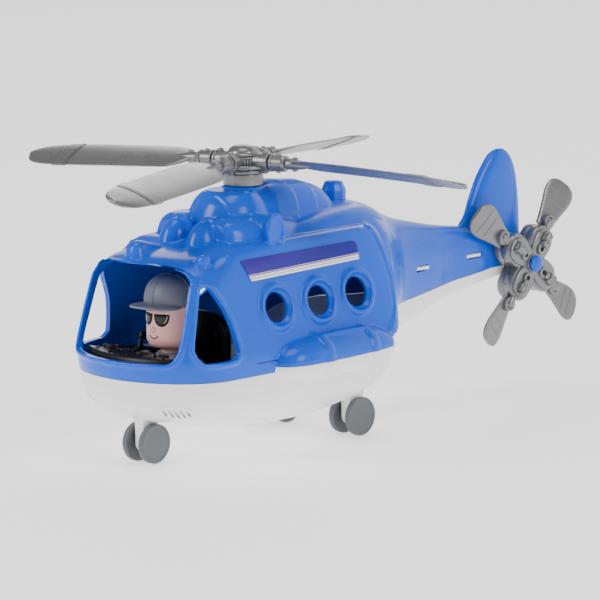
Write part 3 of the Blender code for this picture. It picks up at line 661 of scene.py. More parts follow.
HUMP = (
    (-6.0, 17.0, 108.0, 141.0), (8.0, 19.0, 108.0, 143.0), (24.0, 18.6, 108.0, 143.2),
    (38.0, 17.6, 108.0, 142.2), (48.0, 16.0, 108.0, 139.8), (56.0, 13.5, 108.0, 136.2),
    (61.0, 10.0, 108.0, 132.6), (64.0, 5.0, 108.0, 128.8),
)
NOSE_BUMP = (
    (-87.4, 2.6, 104.0, 116.0), (-86.2, 4.6, 104.0, 119.4), (-83.4, 5.8, 104.0, 121.6),
    (-79.5, 5.8, 104.0, 122.0), (-74.0, 4.8, 104.0, 120.4), (-67.0, 3.2, 104.0, 118.2),
    (-61.0, 1.4, 104.0, 116.4),
)
NACELLE = (
    (-40.0, 9.6, 104.0, 127.6), (-36.0, 12.0, 104.0, 130.0), (-28.0, 14.2, 104.0, 130.8),
    (-14.0, 15.4, 104.0, 130.0), (0.0, 14.4, 104.0, 128.2), (12.0, 11.0, 104.0, 126.0),
    (24.0, 6.0, 104.0, 122.6),
)
NACELLE_X = 17.6
INTAKE_Y = -41.0
POD = (
    (-28.5, 5.5, 50.2, 54.8), (-27.0, 8.6, 48.2, 57.6), (-23.5, 12.6, 45.8, 60.6), (-17.0, 15.6, 43.4, 63.8),
    (-6.0, 17.3, 41.4, 65.4), (10.0, 17.2, 40.2, 66.3), (30.0, 16.4, 40.2, 66.6), (46.0, 15.2, 42.2, 65.4),
    (56.0, 13.0, 45.0, 62.6), (61.0, 9.6, 48.0, 59.0),
)
FIN = (
    (86.0, 166.0, 227.6, 4.6), (96.0, 170.0, 227.4, 4.6), (101.0, 176.0, 227.1, 4.4),
    (106.0, 180.4, 226.8, 4.3), (114.4, 184.0, 226.0, 4.2), (125.3, 189.8, 224.2, 4.0),
    (134.5, 196.8, 220.6, 3.6), (139.6, 202.2, 216.2, 2.8), (141.7, 207.6, 212.4, 1.4),
)
PYLON = ((22.6, 112), (22.5, 120), (21.2, 127.6), (19.4, 133), (17.4, 136.8), (14.4, 140), (11.6, 142.2))
PYLON_Y = -11.5
# Where blue meets white, from the nose round the pods and up to the tail: (y, z)
SEAM = (
    (-120.0, BELT_Z), (STEP_Y, BELT_Z), (STEP_Y, 52.4), (60.0, 53.6), (66.0, 57.5), (74.0, 64.5),
    (90.0, 67.2), (118.0, 67.4), (150.0, 69.6), (175.0, 71.6), (198.0, 73.6), (240.0, 74.6),
)
WINDSCREEN = (
    (26.0, 59.6), (34.5, 60.2), (37.4, 63.4), (38.2, 70.0), (38.0, 79.0),
    (36.6, 99.0), (35.4, 103.2), (31.6, 107.2), (22.0, 110.2), (10.0, 110.9),
)
SIDE_WINDOW = (
    (-80.0, 61.4), (-76.6, 59.7), (-61.0, 60.1), (-57.2, 61.8), (-55.8, 65.2), (-59.6, 82.5),
    (-67.6, 97.0), (-70.4, 99.6), (-73.2, 98.9), (-74.7, 96.0), (-81.3, 70.4), (-81.6, 65.0),
)
WINDSCREEN_RING = WINDSCREEN + tuple((-x, z) for x, z in reversed(WINDSCREEN))
# The rear edge of the flat side wall, behind which a raised band runs round the back: (y, z)
REAR_BAND = ((60.0, 118.0), (66.0, 106.0), (69.5, 94.0), (70.5, 82.0), (68.5, 70.0), (60.0, 60.0))
POD_STRAPS = (2.4, 39.4)
HUMP_STEPS = (23.0, 40.5)
TABS = ((122.5, 134.0), (175.5, 187.5))
TAB_Z = 83.0


def rows_between(stations, start, end):
    """The stations of a lofted body cut down to a stretch of it."""
    def at(y):
        for a, b in zip(stations, stations[1:]):
            if a[0] <= y <= b[0]:
                t = (y - a[0]) / (b[0] - a[0])
                return tuple(p + (q - p) * t for p, q in zip(a, b))
        return stations[-1]
    inner = [row for row in stations if start < row[0] < end]
    return [at(start)] + inner + [at(end)]


def band_round(name, stations, start, end, proud, exponent, centre_x=0.0):
    """A strap that stands proud of a lofted body from start to end."""
    rows = [
        (y, w + proud, low - proud, high + proud) for y, w, low, high in rows_between(stations, start, end)
    ]
    return lengthwise(name, rows, exponent, centre_x, per_span=2)


def skin_patch(name, outline, side, proud):
    """The part of the cabin's skin inside an outline of (y, z), standing proud by that much."""
    patch = cabin(name, -proud, per_span=2)
    return combine(patch, [slab("keep", outline, "X", *sorted((side * 6, side * 70)))], "INTERSECT")


EXHAUST_Y, EXHAUST_Z = -13.2, 122.8
EXHAUST_PROFILE = (
    (20.0, 0.94), (34.4, 0.94), (34.9, 0.97), (35.2, 1.04),
    (35.8, 1.07), (37.4, 1.07), (38.2, 1.04), (38.7, 0.96),
)


def exhaust():
    """An oval pipe end on the port shoulder of the roof, with a collar and a shallow mouth."""
    def sheath(name, profile):
        return loft(name, [
            [(x, EXHAUST_Y + a * grow, EXHAUST_Z + b * grow) for a, b in oval(6.4, 9.2)]
            for x, grow in profile
        ])
    mouth = sheath("mouth", ((37.5, 0.74), (37.9, 0.8), (40.0, 0.86)))
    return carve(sheath("exhaust", EXHAUST_PROFILE), [mouth])


def pylon_back():
    """The part of the pylon behind its front dome, which stands a little proud of it."""
    back = turned("pylon_back", [(r + 1.2, z) for r, z in curve_through(PYLON, 4)], (0, PYLON_Y, 0), steps=96)
    return combine(back, [box("keep", (-40, -25.6, 100), (40, 40, 141.2))], "INTERSECT")


def intake(side):
    """The tall rounded nose of an engine, with a raised arch behind it."""
    x = side * 10.4
    nose = ball("nose", (x, INTAKE_Y, 109.0), (9.6, 12.4, 20.0))
    arch = [
        (x + side * 0.6 + 11.6 * cos(t), INTAKE_Y + 3.4, 108.0 + 21.6 * sin(t)) for t in spaced(0, pi, 25)
    ]
    return combine(nose, [limb("arch", arch, [1.5] * len(arch), 16, 2)])


def porthole_ring(side, y, z):
    """A round moulded rim that falls away towards the hole."""
    profile = eased([
        (PORTHOLE_RING, -2.0), (PORTHOLE_RING, 0.6), (PORTHOLE_RING - 1.2, 2.0),
        (PORTHOLE_RING - 2.6, 1.9), (PORTHOLE_RING - 4.0, 0.4), (4.0, 0.2),
    ], 0.8)
    return turned("porthole_ring", profile, (side * wall_x(z), y, z), wall_out(side))


def fin():
    rings = []
    for z, front, back, half_thickness in curve_through(FIN, 4):
        plan = oval(half_thickness, (back - front) / 2, 2.3, 40)
        rings.append([(a, (front + back) / 2 + b, z) for a, b in plan])
    return loft("fin", rings)


def beacon():
    """The eight-sided lamp housing on the roof, with chamfered corners."""
    profile = [(7.6, 118), (7.6, 124.6), (7.0, 125.2), (7.0, 132.8), (5.0, 137.6)]
    return bevelled(turned("beacon", profile, (0, 71.7, 0), steps=8), 0.7, 2, 20)


def window_rims():
    """Rounded raised frames along the windscreen's and the side windows' edges."""
    outline = grown(closed_curve(WINDSCREEN_RING, 4), 1.0)
    front = [nose_point(x, z) for x, z in outline]
    rims = [limb("rim", front + front[:2], [1.7] * (len(front) + 2), 14, 1)]
    for side in (1, -1):
        outline = grown(closed_curve(SIDE_WINDOW, 4), 1.1)
        ring = [side_point(side, y, z) for y, z in outline]
        rims.append(limb("rim", ring + ring[:2], [1.6] * (len(ring) + 2), 14, 1))
    return rims


def fuselage_skin():
    """The outer skin of the whole fuselage, softened where its shapes meet."""
    body = cabin("body")
    housings = [
        exhaust(),
        lengthwise("boom", BOOM, 2.5),
        lengthwise("cowl", COWL, 2.3),
        lengthwise("hump", HUMP, 2.4),
        band_round("hump_front", HUMP, -6.0, HUMP_STEPS[0], 1.3, 2.4),
        band_round("hump_middle", HUMP, -6.0, HUMP_STEPS[1], 0.5, 2.4),
        lengthwise("nose_bump", NOSE_BUMP, 2.3),
        turned("pylon", curve_through(PYLON, 4), (0, PYLON_Y, 0), steps=96),
        pylon_back(),
        turned("mast_boss", [(11.4, 130), (11.4, 143.3)]),
        fin(),
        ball("bead", (33.0, -64.2, 111.8), (4.0, 4.4, 4.2), 32, 16),
        ball("bead_top", (34.6, -65.4, 113.4), (2.2, 2.4, 2.4), 24, 12),
    ]
    for side in (1, -1):
        housings.append(lengthwise("nacelle", NACELLE, 2.3, centre_x=side * NACELLE_X))
        housings.append(intake(side))
        housings.append(ball("stub", (side * 36.4, -48.4, 112.4), (2.6, 3.6, 2.6), 24, 12))
        housings.append(lengthwise("pod", POD, 2.3, centre_x=side * POD_X))
        housings += [
            band_round("strap", POD, y - 2.4, y + 2.4, 1.1, 2.3, side * POD_X) for y in POD_STRAPS
        ]
        ridge = ((POD_STRAPS[0], 64.9), (20.0, 65.4), (POD_STRAPS[1], 65.0))
        housings.append(limb("ridge", [(side * (POD_X + 8.5), y, z) for y, z in ridge], (1.5, 1.7, 1.5)))
        band = curve_through(REAR_BAND, 4) + [(95.0, 52.0), (95.0, 122.0)]
        housings.append(skin_patch("rear_band", band, side, 1.0))
        housings += [porthole_ring(side, y, z) for y, z in PORTHOLES]
    combine(body, housings + window_rims())
    moulded(body, SKIN_VOXEL, 3)
    return combine(body, [beacon()])


def fuselage_inside():
    hollow = cabin("hollow", WALL, 2)
    rooms = [
        lengthwise("boom_room", BOOM[:-4], 2.5, inset=WALL, count=24, per_span=2),
        lengthwise("cowl_room", COWL[1:-1], 2.3, inset=WALL, count=24, per_span=2),
        lengthwise("hump_room", HUMP[:-1], 2.4, inset=WALL, count=24, per_span=2),
        turned("pylon_room", [(r - WALL, z - WALL) for r, z in PYLON[:-1]], (0, PYLON_Y, 0)),
    ]
    for side in (1, -1):
        rooms.append(lengthwise("pod_room", POD[2:-1], 2.3, side * POD_X, WALL, 24, 2))
    return combine(hollow, rooms)


def seam_block(name, top, half_gap):
    line = [(y - half_gap if y == STEP_Y else y, z + half_gap) for y, z in SEAM]
    line += [(240.0, top), (-120.0, top)]
    return slab(name, line, "X", -90, 90)


def window_cutters():
    cutters = [slab("windscreen", closed_curve(WINDSCREEN_RING), "Y", -130, -68)]
    for side in (1, -1):
        ends = sorted((side * 30, side * 70))
        cutters.append(slab("side_window", closed_curve(SIDE_WINDOW), "X", *ends))
        for y, z in PORTHOLES:
            middle = Vector((side * wall_x(z), y, z))
            cutters.append(turned("porthole", [
                (PORTHOLE_RADIUS, -8), (PORTHOLE_RADIUS, -0.6),
                (PORTHOLE_RADIUS + 2.2, 1.2), (PORTHOLE_RADIUS + 2.4, 4),
            ], middle, wall_out(side)))
    return cutters


def mast_hole(low, high):
    return turned("mast_hole", [(MAST_RADIUS + GAP, low), (MAST_RADIUS + GAP, high)])


def wall_grooves():
    """The short panel line ahead of each pod and the slots that the snap tabs show through."""
    cutters = []
    for side in (1, -1):
        ends = sorted((side * 51.2, side * 60))
        cutters.append(box("panel_line", (ends[0], -43.0, 55.6), (ends[1], -27.5, 56.3)))
        for start, end in TABS:
            ends = sorted((side * 4, side * 30))
            low, high = (ends[0], start - 0.8, TAB_Z - 1.6), (ends[1], end + 0.8, TAB_Z + 1.6)
            cutters.append(box("slot", low, high))
    return cutters


def grille(side):
    """(raised oval, its slanted slots) on the hull's side behind the nose."""
    middle = Vector((side * 33.0, -85.0, 31.5))
    outward, along, up = basis((side * 0.72, -0.62, -0.32))
    def prism(name, outline):
        return loft(name, [
            [middle + outward * reach + along * a + up * b for a, b in outline] for reach in (-12, 14)
        ])
    pad = combine(cabin("pad", -0.5, 2), [prism("keep", oval(9.6, 5.6))], "INTERSECT")
    slots = []
    for k in range(-2, 3):
        slot = prism("slot", [(k * 3.2 + a + b * 0.5, b) for a, b in oval(0.8, 3.9 - 0.35 * k * k, 3.0, 24)])
        slots.append(carve(slot, [cabin("core", 0.7, 1)]))
    return pad, slots


def leg(x, y):
    """A flat leg down to a rounded end round the axle."""
    outline = [(y - 6.6, 33.0), (y - 5.6, 24.0), (y - 5.2, 16.0)]
    for i in range(1, 16):
        t = pi + pi * i / 16
        outline.append((y + 5.2 * cos(t), WHEEL_RADIUS + 5.2 * sin(t)))
    outline += [(y + 5.2, 16.0), (y + 6.2, 24.0), (y + 8.4, 33.0)]
    plate = slab("leg", outline, "X", x - LEG_HALF_THICKNESS, x + LEG_HALF_THICKNESS)
    return bevelled(plate, 0.8, 3)


def boom_half_width(y):
    return rows_between(BOOM, y, BOOM[-1][0])[0][1]


def upper_shell(shell):
    carve(shell, [seam_block("below", -10.0, GAP / 2)] + window_cutters() + wall_grooves())
    place(thinned(shell), "upper_shell", "airframe", BLUE, "upper_fuselage", 50)


def lower_shell(shell):
    """The hull with its legs, grilles and the flat that it can be held by."""
    carve(shell, [seam_block("above", 170.0, -GAP / 2)])
    (port_pad, port_slots), (starboard_pad, starboard_slots) = grille(1), grille(-1)
    combine(shell, [leg(x, y) for x, y in LEGS.values()] + [port_pad, starboard_pad])
    combine(shell, [box("belly_flat", (-12, -10, 11.6), (12, 30, 14.4))])
    carve(shell, port_slots + starboard_slots)
    for x, y in LEGS.values():
        hole = rod("axle_hole", (x - 10, y, WHEEL_RADIUS), (x + 10, y, WHEEL_RADIUS), AXLE_RADIUS + GAP)
        carve(shell, [hole])
    place(thinned(shell), "lower_shell", "airframe", WHITE, "lower_fuselage", 50)


def snap_tabs():
    """White tabs that show through the slots in the boom's sides."""
    for k, (start, end) in enumerate(TABS):
        for side, name in SIDES:
            reach = boom_half_width((start + end) / 2) - 0.2
            ends = sorted((side * 3.0, side * reach))
            tab = box("tab", (ends[0], start, TAB_Z - 1.0), (ends[1], end, TAB_Z + 1.0), 0.4)
            place(tab, "snap_tab_%s_%d" % (name, k + 1), "airframe", WHITE, sharp=40)


def fuselage():
    skin = fuselage_skin()
    carve(skin, [fuselage_inside(), mast_hole(100, 160)])
    _, y, z = TAIL_CENTRE
    carve(skin, [rod("shaft_hole", (-2.2, y, z), (12, y, z), TAIL_PIN_RADIUS + GAP)])
    upper_shell(copied(skin, "upper"))
    lower_shell(skin)
    snap_tabs()


# ---- stickers -------------------------------------------------------------------------------------------


def sticker(side, name):
    """A thin film high on the side wall, with a slanted front and a rounded top rear corner."""
    outline = [(-37.6, 98.9), (-36.6, 98.9), (46.6, 101.2)]
    outline += [(43.2 + 3.8 * cos(t), 107.6 + 3.8 * sin(t)) for t in spaced(0.0, pi / 2, 7)]
    outline += [(-43.2, 110.7), (-44.0, 110.4)]
    rings = [
        [Vector((side * wall_x(z), y, z)) + wall_out(side) * off for y, z in grown(outline, -shrink)]
        for off, shrink in ((GAP, 0.0), (GAP + 0.22, 0.0), (GAP + 0.28, 0.12))
    ]
    place(loft(name, rings), name + "_film", "airframe", FILM, name, 35)


# ---- cockpit --------------------------------------------------------------------------------------------


# (x, y, radius, top z)
DIALS = (
    (-23.5, -87.6, 5.0, 62.6), (-11.0, -91.0, 3.2, 62.4), (4.0, -92.4, 3.6, 62.4), (18.0, -89.6, 3.0, 62.2),
)
LEVER_Y = -42.5


def fitting(obj, name, material=BLACK, replaces=None):
    place(obj, name, "airframe", material, replaces, 35)


def cockpit_tray():
    """The black tray with the dashboard moulded on it."""
    inset = WALL + GAP + 0.4
    plan = (51.0, -100.6, 38.8, 77.0)
    tray = loft("tray", [level_plan(z, *plan, inset=inset) for z in (50.6, 53.6)])
    carve(tray, [box("tray_end", (-60, -36, 40), (60, 90, 60))])
    dashboard = loft("dashboard", [
        level_plan(z, *plan, inset=inset + shrink)
        for z, shrink in ((52.0, 0.1), (59.5, 0.8), (60.6, 1.2), (61.4, 2.0))
    ])
    carve(dashboard, [box("dashboard_end", (-60, -84.6, 40), (60, 90, 70))])
    combine(tray, [dashboard])
    carve(tray, [box("pilot_hole", (-29, -78, 40), (29, -30, 58))])
    bevelled(tray, 0.5, 2)
    fitting(tray, "cockpit_tray_shell", replaces="cockpit_tray")


def dials():
    for k, (x, y, radius, top) in enumerate(DIALS):
        ring = turned("dial", eased([
            (radius, 60.4), (radius, top), (radius - 0.9, top + 0.4), (radius - 1.1, top - 0.5),
            (0.4, top - 0.5),
        ], 0.3), (x, y, 0), (0, 0.16, 1))
        fitting(ring, "dial_%d" % (k + 1))
        hand = box("hand", (x - 0.35, y - radius * 0.6, top - 1.0), (x + 0.35, y + 0.4, top - 0.1), 0.1)
        fitting(hand, "dial_hand_%d" % (k + 1), LENS)


def switches():
    for k in range(6):
        x, y = -17.0 + 8.6 * k, -84.9 - 2.2 * (k % 2) - 0.8
        knob = rod("switch", (x, y, 60.8), (x, y, 63.4), 0.9, 16, 0.7)
        fitting(knob, "switch_%d" % (k + 1))


def levers():
    y = LEVER_Y
    for side, name in SIDES:
        lever = limb("lever", [
            (side * 38.0, y - 1.5, 52.6), (side * 38.2, y, 57.0), (side * 38.4, y + 1.4, 60.4),
        ], (1.5, 1.3, 1.2))
        grip = rod("grip", (side * 38.3, y + 1.0, 58.8), (side * 38.5, y + 2.2, 62.4), 2.4, 24, 2.1)
        foot = rod("foot", (side * 38.0, y - 1.5, 53.0), (side * 38.0, y - 1.5, 54.6), 3.4)
        fitting(combine(lever, [grip, foot]), "lever_" + name)


def seat():
    """A bench seat with a tall rounded back that carries two arched ribs."""
    outline = [(-23.0, 24.0), (23.0, 24.0), (23.0, 64.0)]
    outline += [(23.0 * cos(t) ** 0.6, 64.0 + 14.4 * sin(t) ** 0.9) for t in spaced(0.06, pi / 2, 12)]
    outline += [(-x, z) for x, z in reversed(outline[2:-1])]
    back = bevelled(slab("back", outline, "Y", -37.0, -33.4), 0.9, 3)
    cushion = box("cushion", (-18.0, -58.0, 24.2), (18.0, -35.0, 27.2), 1.0)
    foot = box("foot", (-12.0, -46.0, 20.6), (12.0, -34.2, 25.0), 0.6)
    ribs = []
    for side in (1, -1):
        arch = [(side * 11 + 5 * cos(t), -37.2, 63 + 6.5 * sin(t)) for t in spaced(0, pi, 9)]
        arch = [(side * 11 + 5, -37.2, 38)] + arch + [(side * 11 - 5, -37.2, 38)]
        ribs.append(limb("rib", arch, [1.0] * len(arch), 16, 3))
    combine(back, [cushion, foot] + ribs)
    place(back, "seat_shell", "airframe", BLACK, "pilot_seat", 35)


# ---- pilot ----------------------------------------------------------------------------------------------


def on_head(angle, z, proud):
    """A point on the head; angle runs from straight ahead towards port."""
    radius = HEAD_RADIUS + proud
    return Vector((radius * sin(angle), HEAD_Y - radius * cos(angle), z))


def print_on_head(name, outline, proud, material):
    """A printed patch: an outline of (millimetres round the head, z) made as a film a hair thick."""
    mid_a, mid_z = (sum(values) / len(outline) for values in zip(*outline))
    shares = (0.0, 0.33, 0.66, 1.0)
    patch = loft(name, [
        [on_head((mid_a + (a - mid_a) * t) / HEAD_RADIUS, mid_z + (z - mid_z) * t, shell) for a, z in outline]
        for shell, order in ((proud, shares), (-0.3, shares[::-1])) for t in order
    ])
    shape = bmesh.new()
    shape.from_mesh(patch.data)
    bmesh.ops.remove_doubles(shape, verts=shape.verts, dist=0.001)
    bmesh.ops.recalc_face_normals(shape, faces=shape.faces)
    shape.to_mesh(patch.data)
    shape.free()
    return place(patch, name, "pilot_head", material)


def lens_outline(side, shrink):
    """A D-shaped lens: flat on top and round below."""
    inner, outer = 0.6 + shrink, 9.8 - shrink
    top, drop = 80.4 - shrink, 6.6 - 2 * shrink
    middle, half = (inner + outer) / 2, (outer - inner) / 2
    points = [(side * (middle + half * cos(t)), top - drop * sin(t) ** 0.8) for t in spaced(0.0, pi, 17)]
    points[0] = (side * outer, top)
    points[-1] = (side * inner, top)
    return points + [(side * (middle - half * 0.4), top + 0.25), (side * (middle + half * 0.5), top + 0.25)]


def face():
    for side, name in HANDS:
        print_on_head("glasses_rim_" + name, lens_outline(side, 0.0), 0.16, INK)
        print_on_head("glasses_lens_" + name, lens_outline(side, 0.6), 0.26, LENS)
        # A thin pale arc along each lens's outer lower edge: a painted highlight, not print
        lens_highlight = [on_head(side * (5.2 + 3.3 * cos(t)) / HEAD_RADIUS, 80.0 - 4.9 * sin(t), 0.24)
                 for t in spaced(0.12, 1.0, 7)]
        place(limb("lens_highlight", lens_highlight, [0.2] * 7, 10, 2), "glasses_painted_highlight_" + name, "pilot_head", PAINTED_LENS_HIGHLIGHT)
    nose = [on_head(1.35 * cos(t) / HEAD_RADIUS, 71.8 + 1.45 * sin(t), 0.05) for t in spaced(0, 2 * pi, 25)]
    place(limb("nose", nose, [0.16] * 25, 10, 1), "nose_ring", "pilot_head", NOSE_LINE)
    smile = [
        on_head(2.8 * cos(t) / HEAD_RADIUS, 68.7 + 1.7 * sin(t), 0.05)
        for t in spaced(pi * 1.02, pi * 1.98, 15)
    ]
    place(limb("smile", smile, [0.3] * 15, 10, 1), "smile", "pilot_head", LIPS)


def head():
    profile = eased([
        (NECK_RADIUS, 51.6), (NECK_RADIUS, CHIN_Z - 0.6), (8.6, CHIN_Z - 0.2), (11.8, CHIN_Z + 1.2),
        (HEAD_RADIUS, CHIN_Z + 4.4), (HEAD_RADIUS, BRIM_Z - 0.6), (12.6, BRIM_Z), (12.4, 90.0),
        (9.6, 95.4), (4.6, 97.6),
    ], 1.6, 5)
    skull = turned("head", profile, (0, HEAD_Y, 0), steps=72)
    place(skull, "head_skin", "pilot_head", SKIN, "pilot_head", 60)
    face()


def cap():
    """A peaked cap: a domed crown with raised seams, a button and a thin curved brim."""
    crown_profile = curve_through((
        (14.5, BRIM_Z + 0.2), (14.8, 87.0), (14.3, 91.2), (12.4, 95.8), (8.8, 99.0), (4.6, 100.4),
        (0.6, 100.8),
    ), 5)
    crown = turned("crown", crown_profile, (0, HEAD_Y, 0), steps=72)
    def brim_ring(grow, drop):
        ring = []
        for t in spaced(0, 2 * pi, 65)[:-1]:
            x = (14.6 + grow) * cos(t)
            y = HEAD_Y - 9.5 + (16.4 + grow if sin(t) < 0 else 11.0) * sin(t)
            ring.append((x, y, BRIM_Z + 1.0 + drop - 0.006 * x * x))
        return ring
    brim = loft("brim", [brim_ring(*edge) for edge in ((-0.5, -0.75), (0, -0.4), (0, 0.4), (-0.5, 0.75))])
    combine(crown, [brim])
    seams = []
    for k in range(4):
        turn = k * pi / 2 + radians(3)
        path = [(r * sin(turn), HEAD_Y - r * cos(turn), z) for r, z in crown_profile[4:-3]]
        seams.append(limb("seam", path, [0.42] * len(path), 12, 1))
    seams.append(ball("button", (0, HEAD_Y, 100.7), (1.9, 1.9, 0.8), 24, 12))
    combine(crown, seams)
    lining = [(13.0, 78.0), (13.0, 88.0), (12.8, 90.4), (10.1, 95.8), (5.0, 98.4)]
    carve(crown, [turned("lining", lining, (0, HEAD_Y, 0))])
    place(crown, "cap_shell", "pilot_head", CLOTH, "pilot_cap", 38)


def torso():
    levels = curve_through((
        (27.4, 13.0, 8.6), (30.0, 13.6, 9.0), (40.0, 14.2, 9.2), (48.0, 14.8, 9.4), (52.6, 14.6, 9.2),
        (55.2, 12.8, 8.4), (56.8, 8.8, 7.6),
    ), 4)
    body = loft("torso", [
        [(a, HEAD_Y + b, z) for a, b in oval(half_x, half_y, 2.8)] for z, half_x, half_y in levels
    ])
    collar = eased([(9.0, 55.0), (8.8, 57.2), (7.4, 58.4), (6.2, 58.2)], 0.6)
    combine(body, [turned("collar", collar, (0, HEAD_Y, 0))])
    socket = [(NECK_RADIUS + GAP, 51.2), (NECK_RADIUS + GAP, 62)]
    carve(body, [turned("neck_socket", socket, (0, HEAD_Y, 0))])
    combine(body, [ball("stud", (0, HEAD_Y - 9.4, z), (1.1, 0.7, 1.1), 24, 12) for z in (34.0, 40.5, 47.0)])
    place(body, "torso_shell", "airframe", CLOTH, "pilot_torso", 45)


def arms():
    y = HEAD_Y
    for side, name in HANDS:
        x, z = side * SHOULDER[0], SHOULDER[1]
        arm = limb("arm", [
            (x, y, z), (x + side * 0.6, y - 3, 42), (x, y - 11, 36.8), (x - side * 2.5, y - 17.5, 36.2),
        ], (5.4, 5.2, 4.9, 4.4))
        cuff = rod("cuff", (x - side * 2.2, y - 16.2, 36.2), (x - side * 3.0, y - 18.6, 36.2), 5.0)
        shoulder = ball("shoulder", (x, y, z), (5.8, 5.8, 5.8))
        place(combine(arm, [cuff, shoulder]), "sleeve_" + name, "pilot_arm_" + name, CLOTH,
              "pilot_arm_" + name, 40)
        hand = ball("hand", (x - side * 3.6, y - 22.4, 36.0), (3.2, 3.9, 3.7))
        thumb = limb("thumb", [
            (x - side * 4.4, y - 20.6, 38.4), (x - side * 6.2, y - 22.8, 39.0),
            (x - side * 6.6, y - 24.6, 37.8),
        ], (1.3, 1.2, 1.1))
        place(combine(hand, [thumb]), "palm_" + name, "pilot_arm_" + name, SKIN,
              "pilot_hand_" + name, 50)


def legs():
    y = HEAD_Y
    for side, name in HANDS:
        x = side * 7.4
        thigh = limb("thigh", [(x, y - 9.6, 36.0), (x, y - 18, 37.4), (x, y - 25, 37.4)], (5.2, 5.4, 5.2))
        shoe = box("shoe", (x - 5, y - 30, 32.4), (x + 5, y - 22, 42.4), 1.8)
        place(combine(thigh, [shoe]), "trouser_" + name, "airframe", CLOTH,
              "pilot_leg_" + name, 40)


# ---- main rotor -----------------------------------------------------------------------------------------


# The round pieces of one rotor arm: (start, end, radius, end radius)
ARM_ROUNDS = (
    (7.0, 17.2, 4.9, 4.9), (15.4, 17.2, 5.3, 5.3), (16.8, 19.2, 3.6, 3.6), (18.2, 25.8, 4.5, 4.1),
    (18.2, 19.6, 4.9, 4.9), (25.4, 27.4, 4.6, 4.3),
)


def arm_pieces():
    """One rotor arm along +X: a socket, a ringed sleeve and bolt heads above and below."""
    pieces = [
        rod("arm", (start, 0, ARM_Z), (end, 0, ARM_Z), radius, end_radius=end_radius)
        for start, end, radius, end_radius in ARM_ROUNDS
    ]
    for up in (1, -1):
        pieces.append(rod("bolt", (14.0, 0, ARM_Z), (14.0, 0, ARM_Z + up * 5.6), 1.7))
        for x, rise, half_height in ((14.0, 5.6, 0.8), (22.4, 4.3, 1.1)):
            pieces.append(ball("bolt_head", (x, 0, ARM_Z + up * rise), (1.7, 1.7, half_height), 24, 12))
    return pieces


def blade_point(r, c, t):
    """A point of a blade that lies along +X: distance out, place along the chord and height above it."""
    lift = -BLADE_DROOP * (r / ROTOR_RADIUS) ** 2
    level, steep = cos(BLADE_PITCH), sin(BLADE_PITCH)
    return (r, c * level + t * steep, ROTOR_Z + lift - c * steep + t * level)


TIP_BAND = (106.5, 116.0)
BLADE_PLAN = (
    (BLADE_ROOT + 5.0, 3.6, 0.0), (35.0, 7.6, 0.2), (39.5, 10.4, 0.8), (46.0, 11.9, 1.3), (70.0, 12.5, 1.5),
    (100.0, 12.4, 1.3), (117.0, 11.8, 0.9), (126.0, 10.5, 0.6), (131.8, 8.4, 0.3), (135.4, 5.2, 0.1),
    (ROTOR_RADIUS - 0.1, 1.8, 0.0),
)


def blade_sections(rows, wider=0.0, thicker=0.0):
    rings = []
    for r, half_chord, forward in rows:
        section = []
        for c, t in oval(half_chord + wider, (BLADE_THICKNESS + thicker) / 2, 2.2, 40):
            camber = 0.5 * (1 - (c / (half_chord + wider)) ** 2)
            section.append(blade_point(r, c + forward, t + camber - 0.25))
        rings.append(section)
    return rings


def main_blade(index):
    """A broad flat blade with a tapered grip at its root and a raised band near its tip."""
    blade = loft("blade", blade_sections(curve_through(BLADE_PLAN, 5)))
    grip = limb("grip", [
        (BLADE_ROOT + 1.6, 0, ARM_Z), (31.0, 0, ARM_Z), (36.0, 0.2, ARM_Z - 0.2), (46.0, 0.6, ARM_Z),
    ], (3.4, 3.4, 2.8, 0.7), flat=0.9)
    studs = [ball("stud", (32.6, 0, ARM_Z + up * 2.9), (1.8, 1.8, 1.2), 24, 12) for up in (1, -1)]
    start, end = TIP_BAND
    bands = [
        loft("band", blade_sections(rows_between(BLADE_PLAN, start, end), 0.55, 0.8)),
        loft("band_edge", blade_sections(rows_between(BLADE_PLAN, start + 1.2, end - 1.2), 0.8, 1.2)),
    ]
    combine(blade, [grip] + studs + bands)
    blade.data.transform(Matrix.Rotation(ROTOR_PHASE + index * pi / 2, 4, "Z"))
    name = "main_rotor_blade_%d" % (index + 1)
    place(blade, "blade_skin_%d" % (index + 1), "main_rotor", SILVER, name, 30)


def rotor_hub():
    """The hub with its four arms, and ribs and a curved bar in each gap between them."""
    hub = turned("hub", eased([
        (11.9, COLLAR_Z[1] + GAP), (11.9, 152.2), (9.6, 152.8), (8.4, 153.4), (8.4, 158.4),
        (9.6, 158.6), (9.6, 159.5), (7.8, 159.7),
    ], 0.3), steps=72)
    for i in range(4):
        turn = Matrix.Rotation(ROTOR_PHASE + i * pi / 2, 4, "Z")
        pieces = arm_pieces()
        for k in (-1, 0, 1):
            angle = pi / 4 + k * radians(11)
            foot = Vector((cos(angle) * 8.3, sin(angle) * 8.3, 152.6))
            pieces.append(rod("rib", foot, foot + Vector((0, 0, 6.2)), 0.75, 12))
        bar = [(12.6 * cos(t), 12.6 * sin(t), 154.0) for t in spaced(radians(16), radians(74), 9)]
        pieces.append(limb("bar", bar, [1.3] * 9, 16, 3))
        for piece in pieces:
            piece.data.transform(turn)
        combine(hub, pieces)
    carve(hub, [mast_hole(140, 156.4)])
    place(hub, "hub_casting", "main_rotor", SILVER, "main_rotor_hub", 35)


def hub_dome():
    dome = [(8.6, 159.6 + GAP), (9.2, 160.2), (9.2, 160.9), (8.6, 161.3)]
    dome += [(8.4 * cos(t), 161.3 + 4.5 * sin(t)) for t in spaced(0.1, pi / 2 * 0.95, 12)]
    place(turned("dome", dome, steps=64), "hub_dome", "main_rotor", SILVER, "main_rotor_cap", 35)


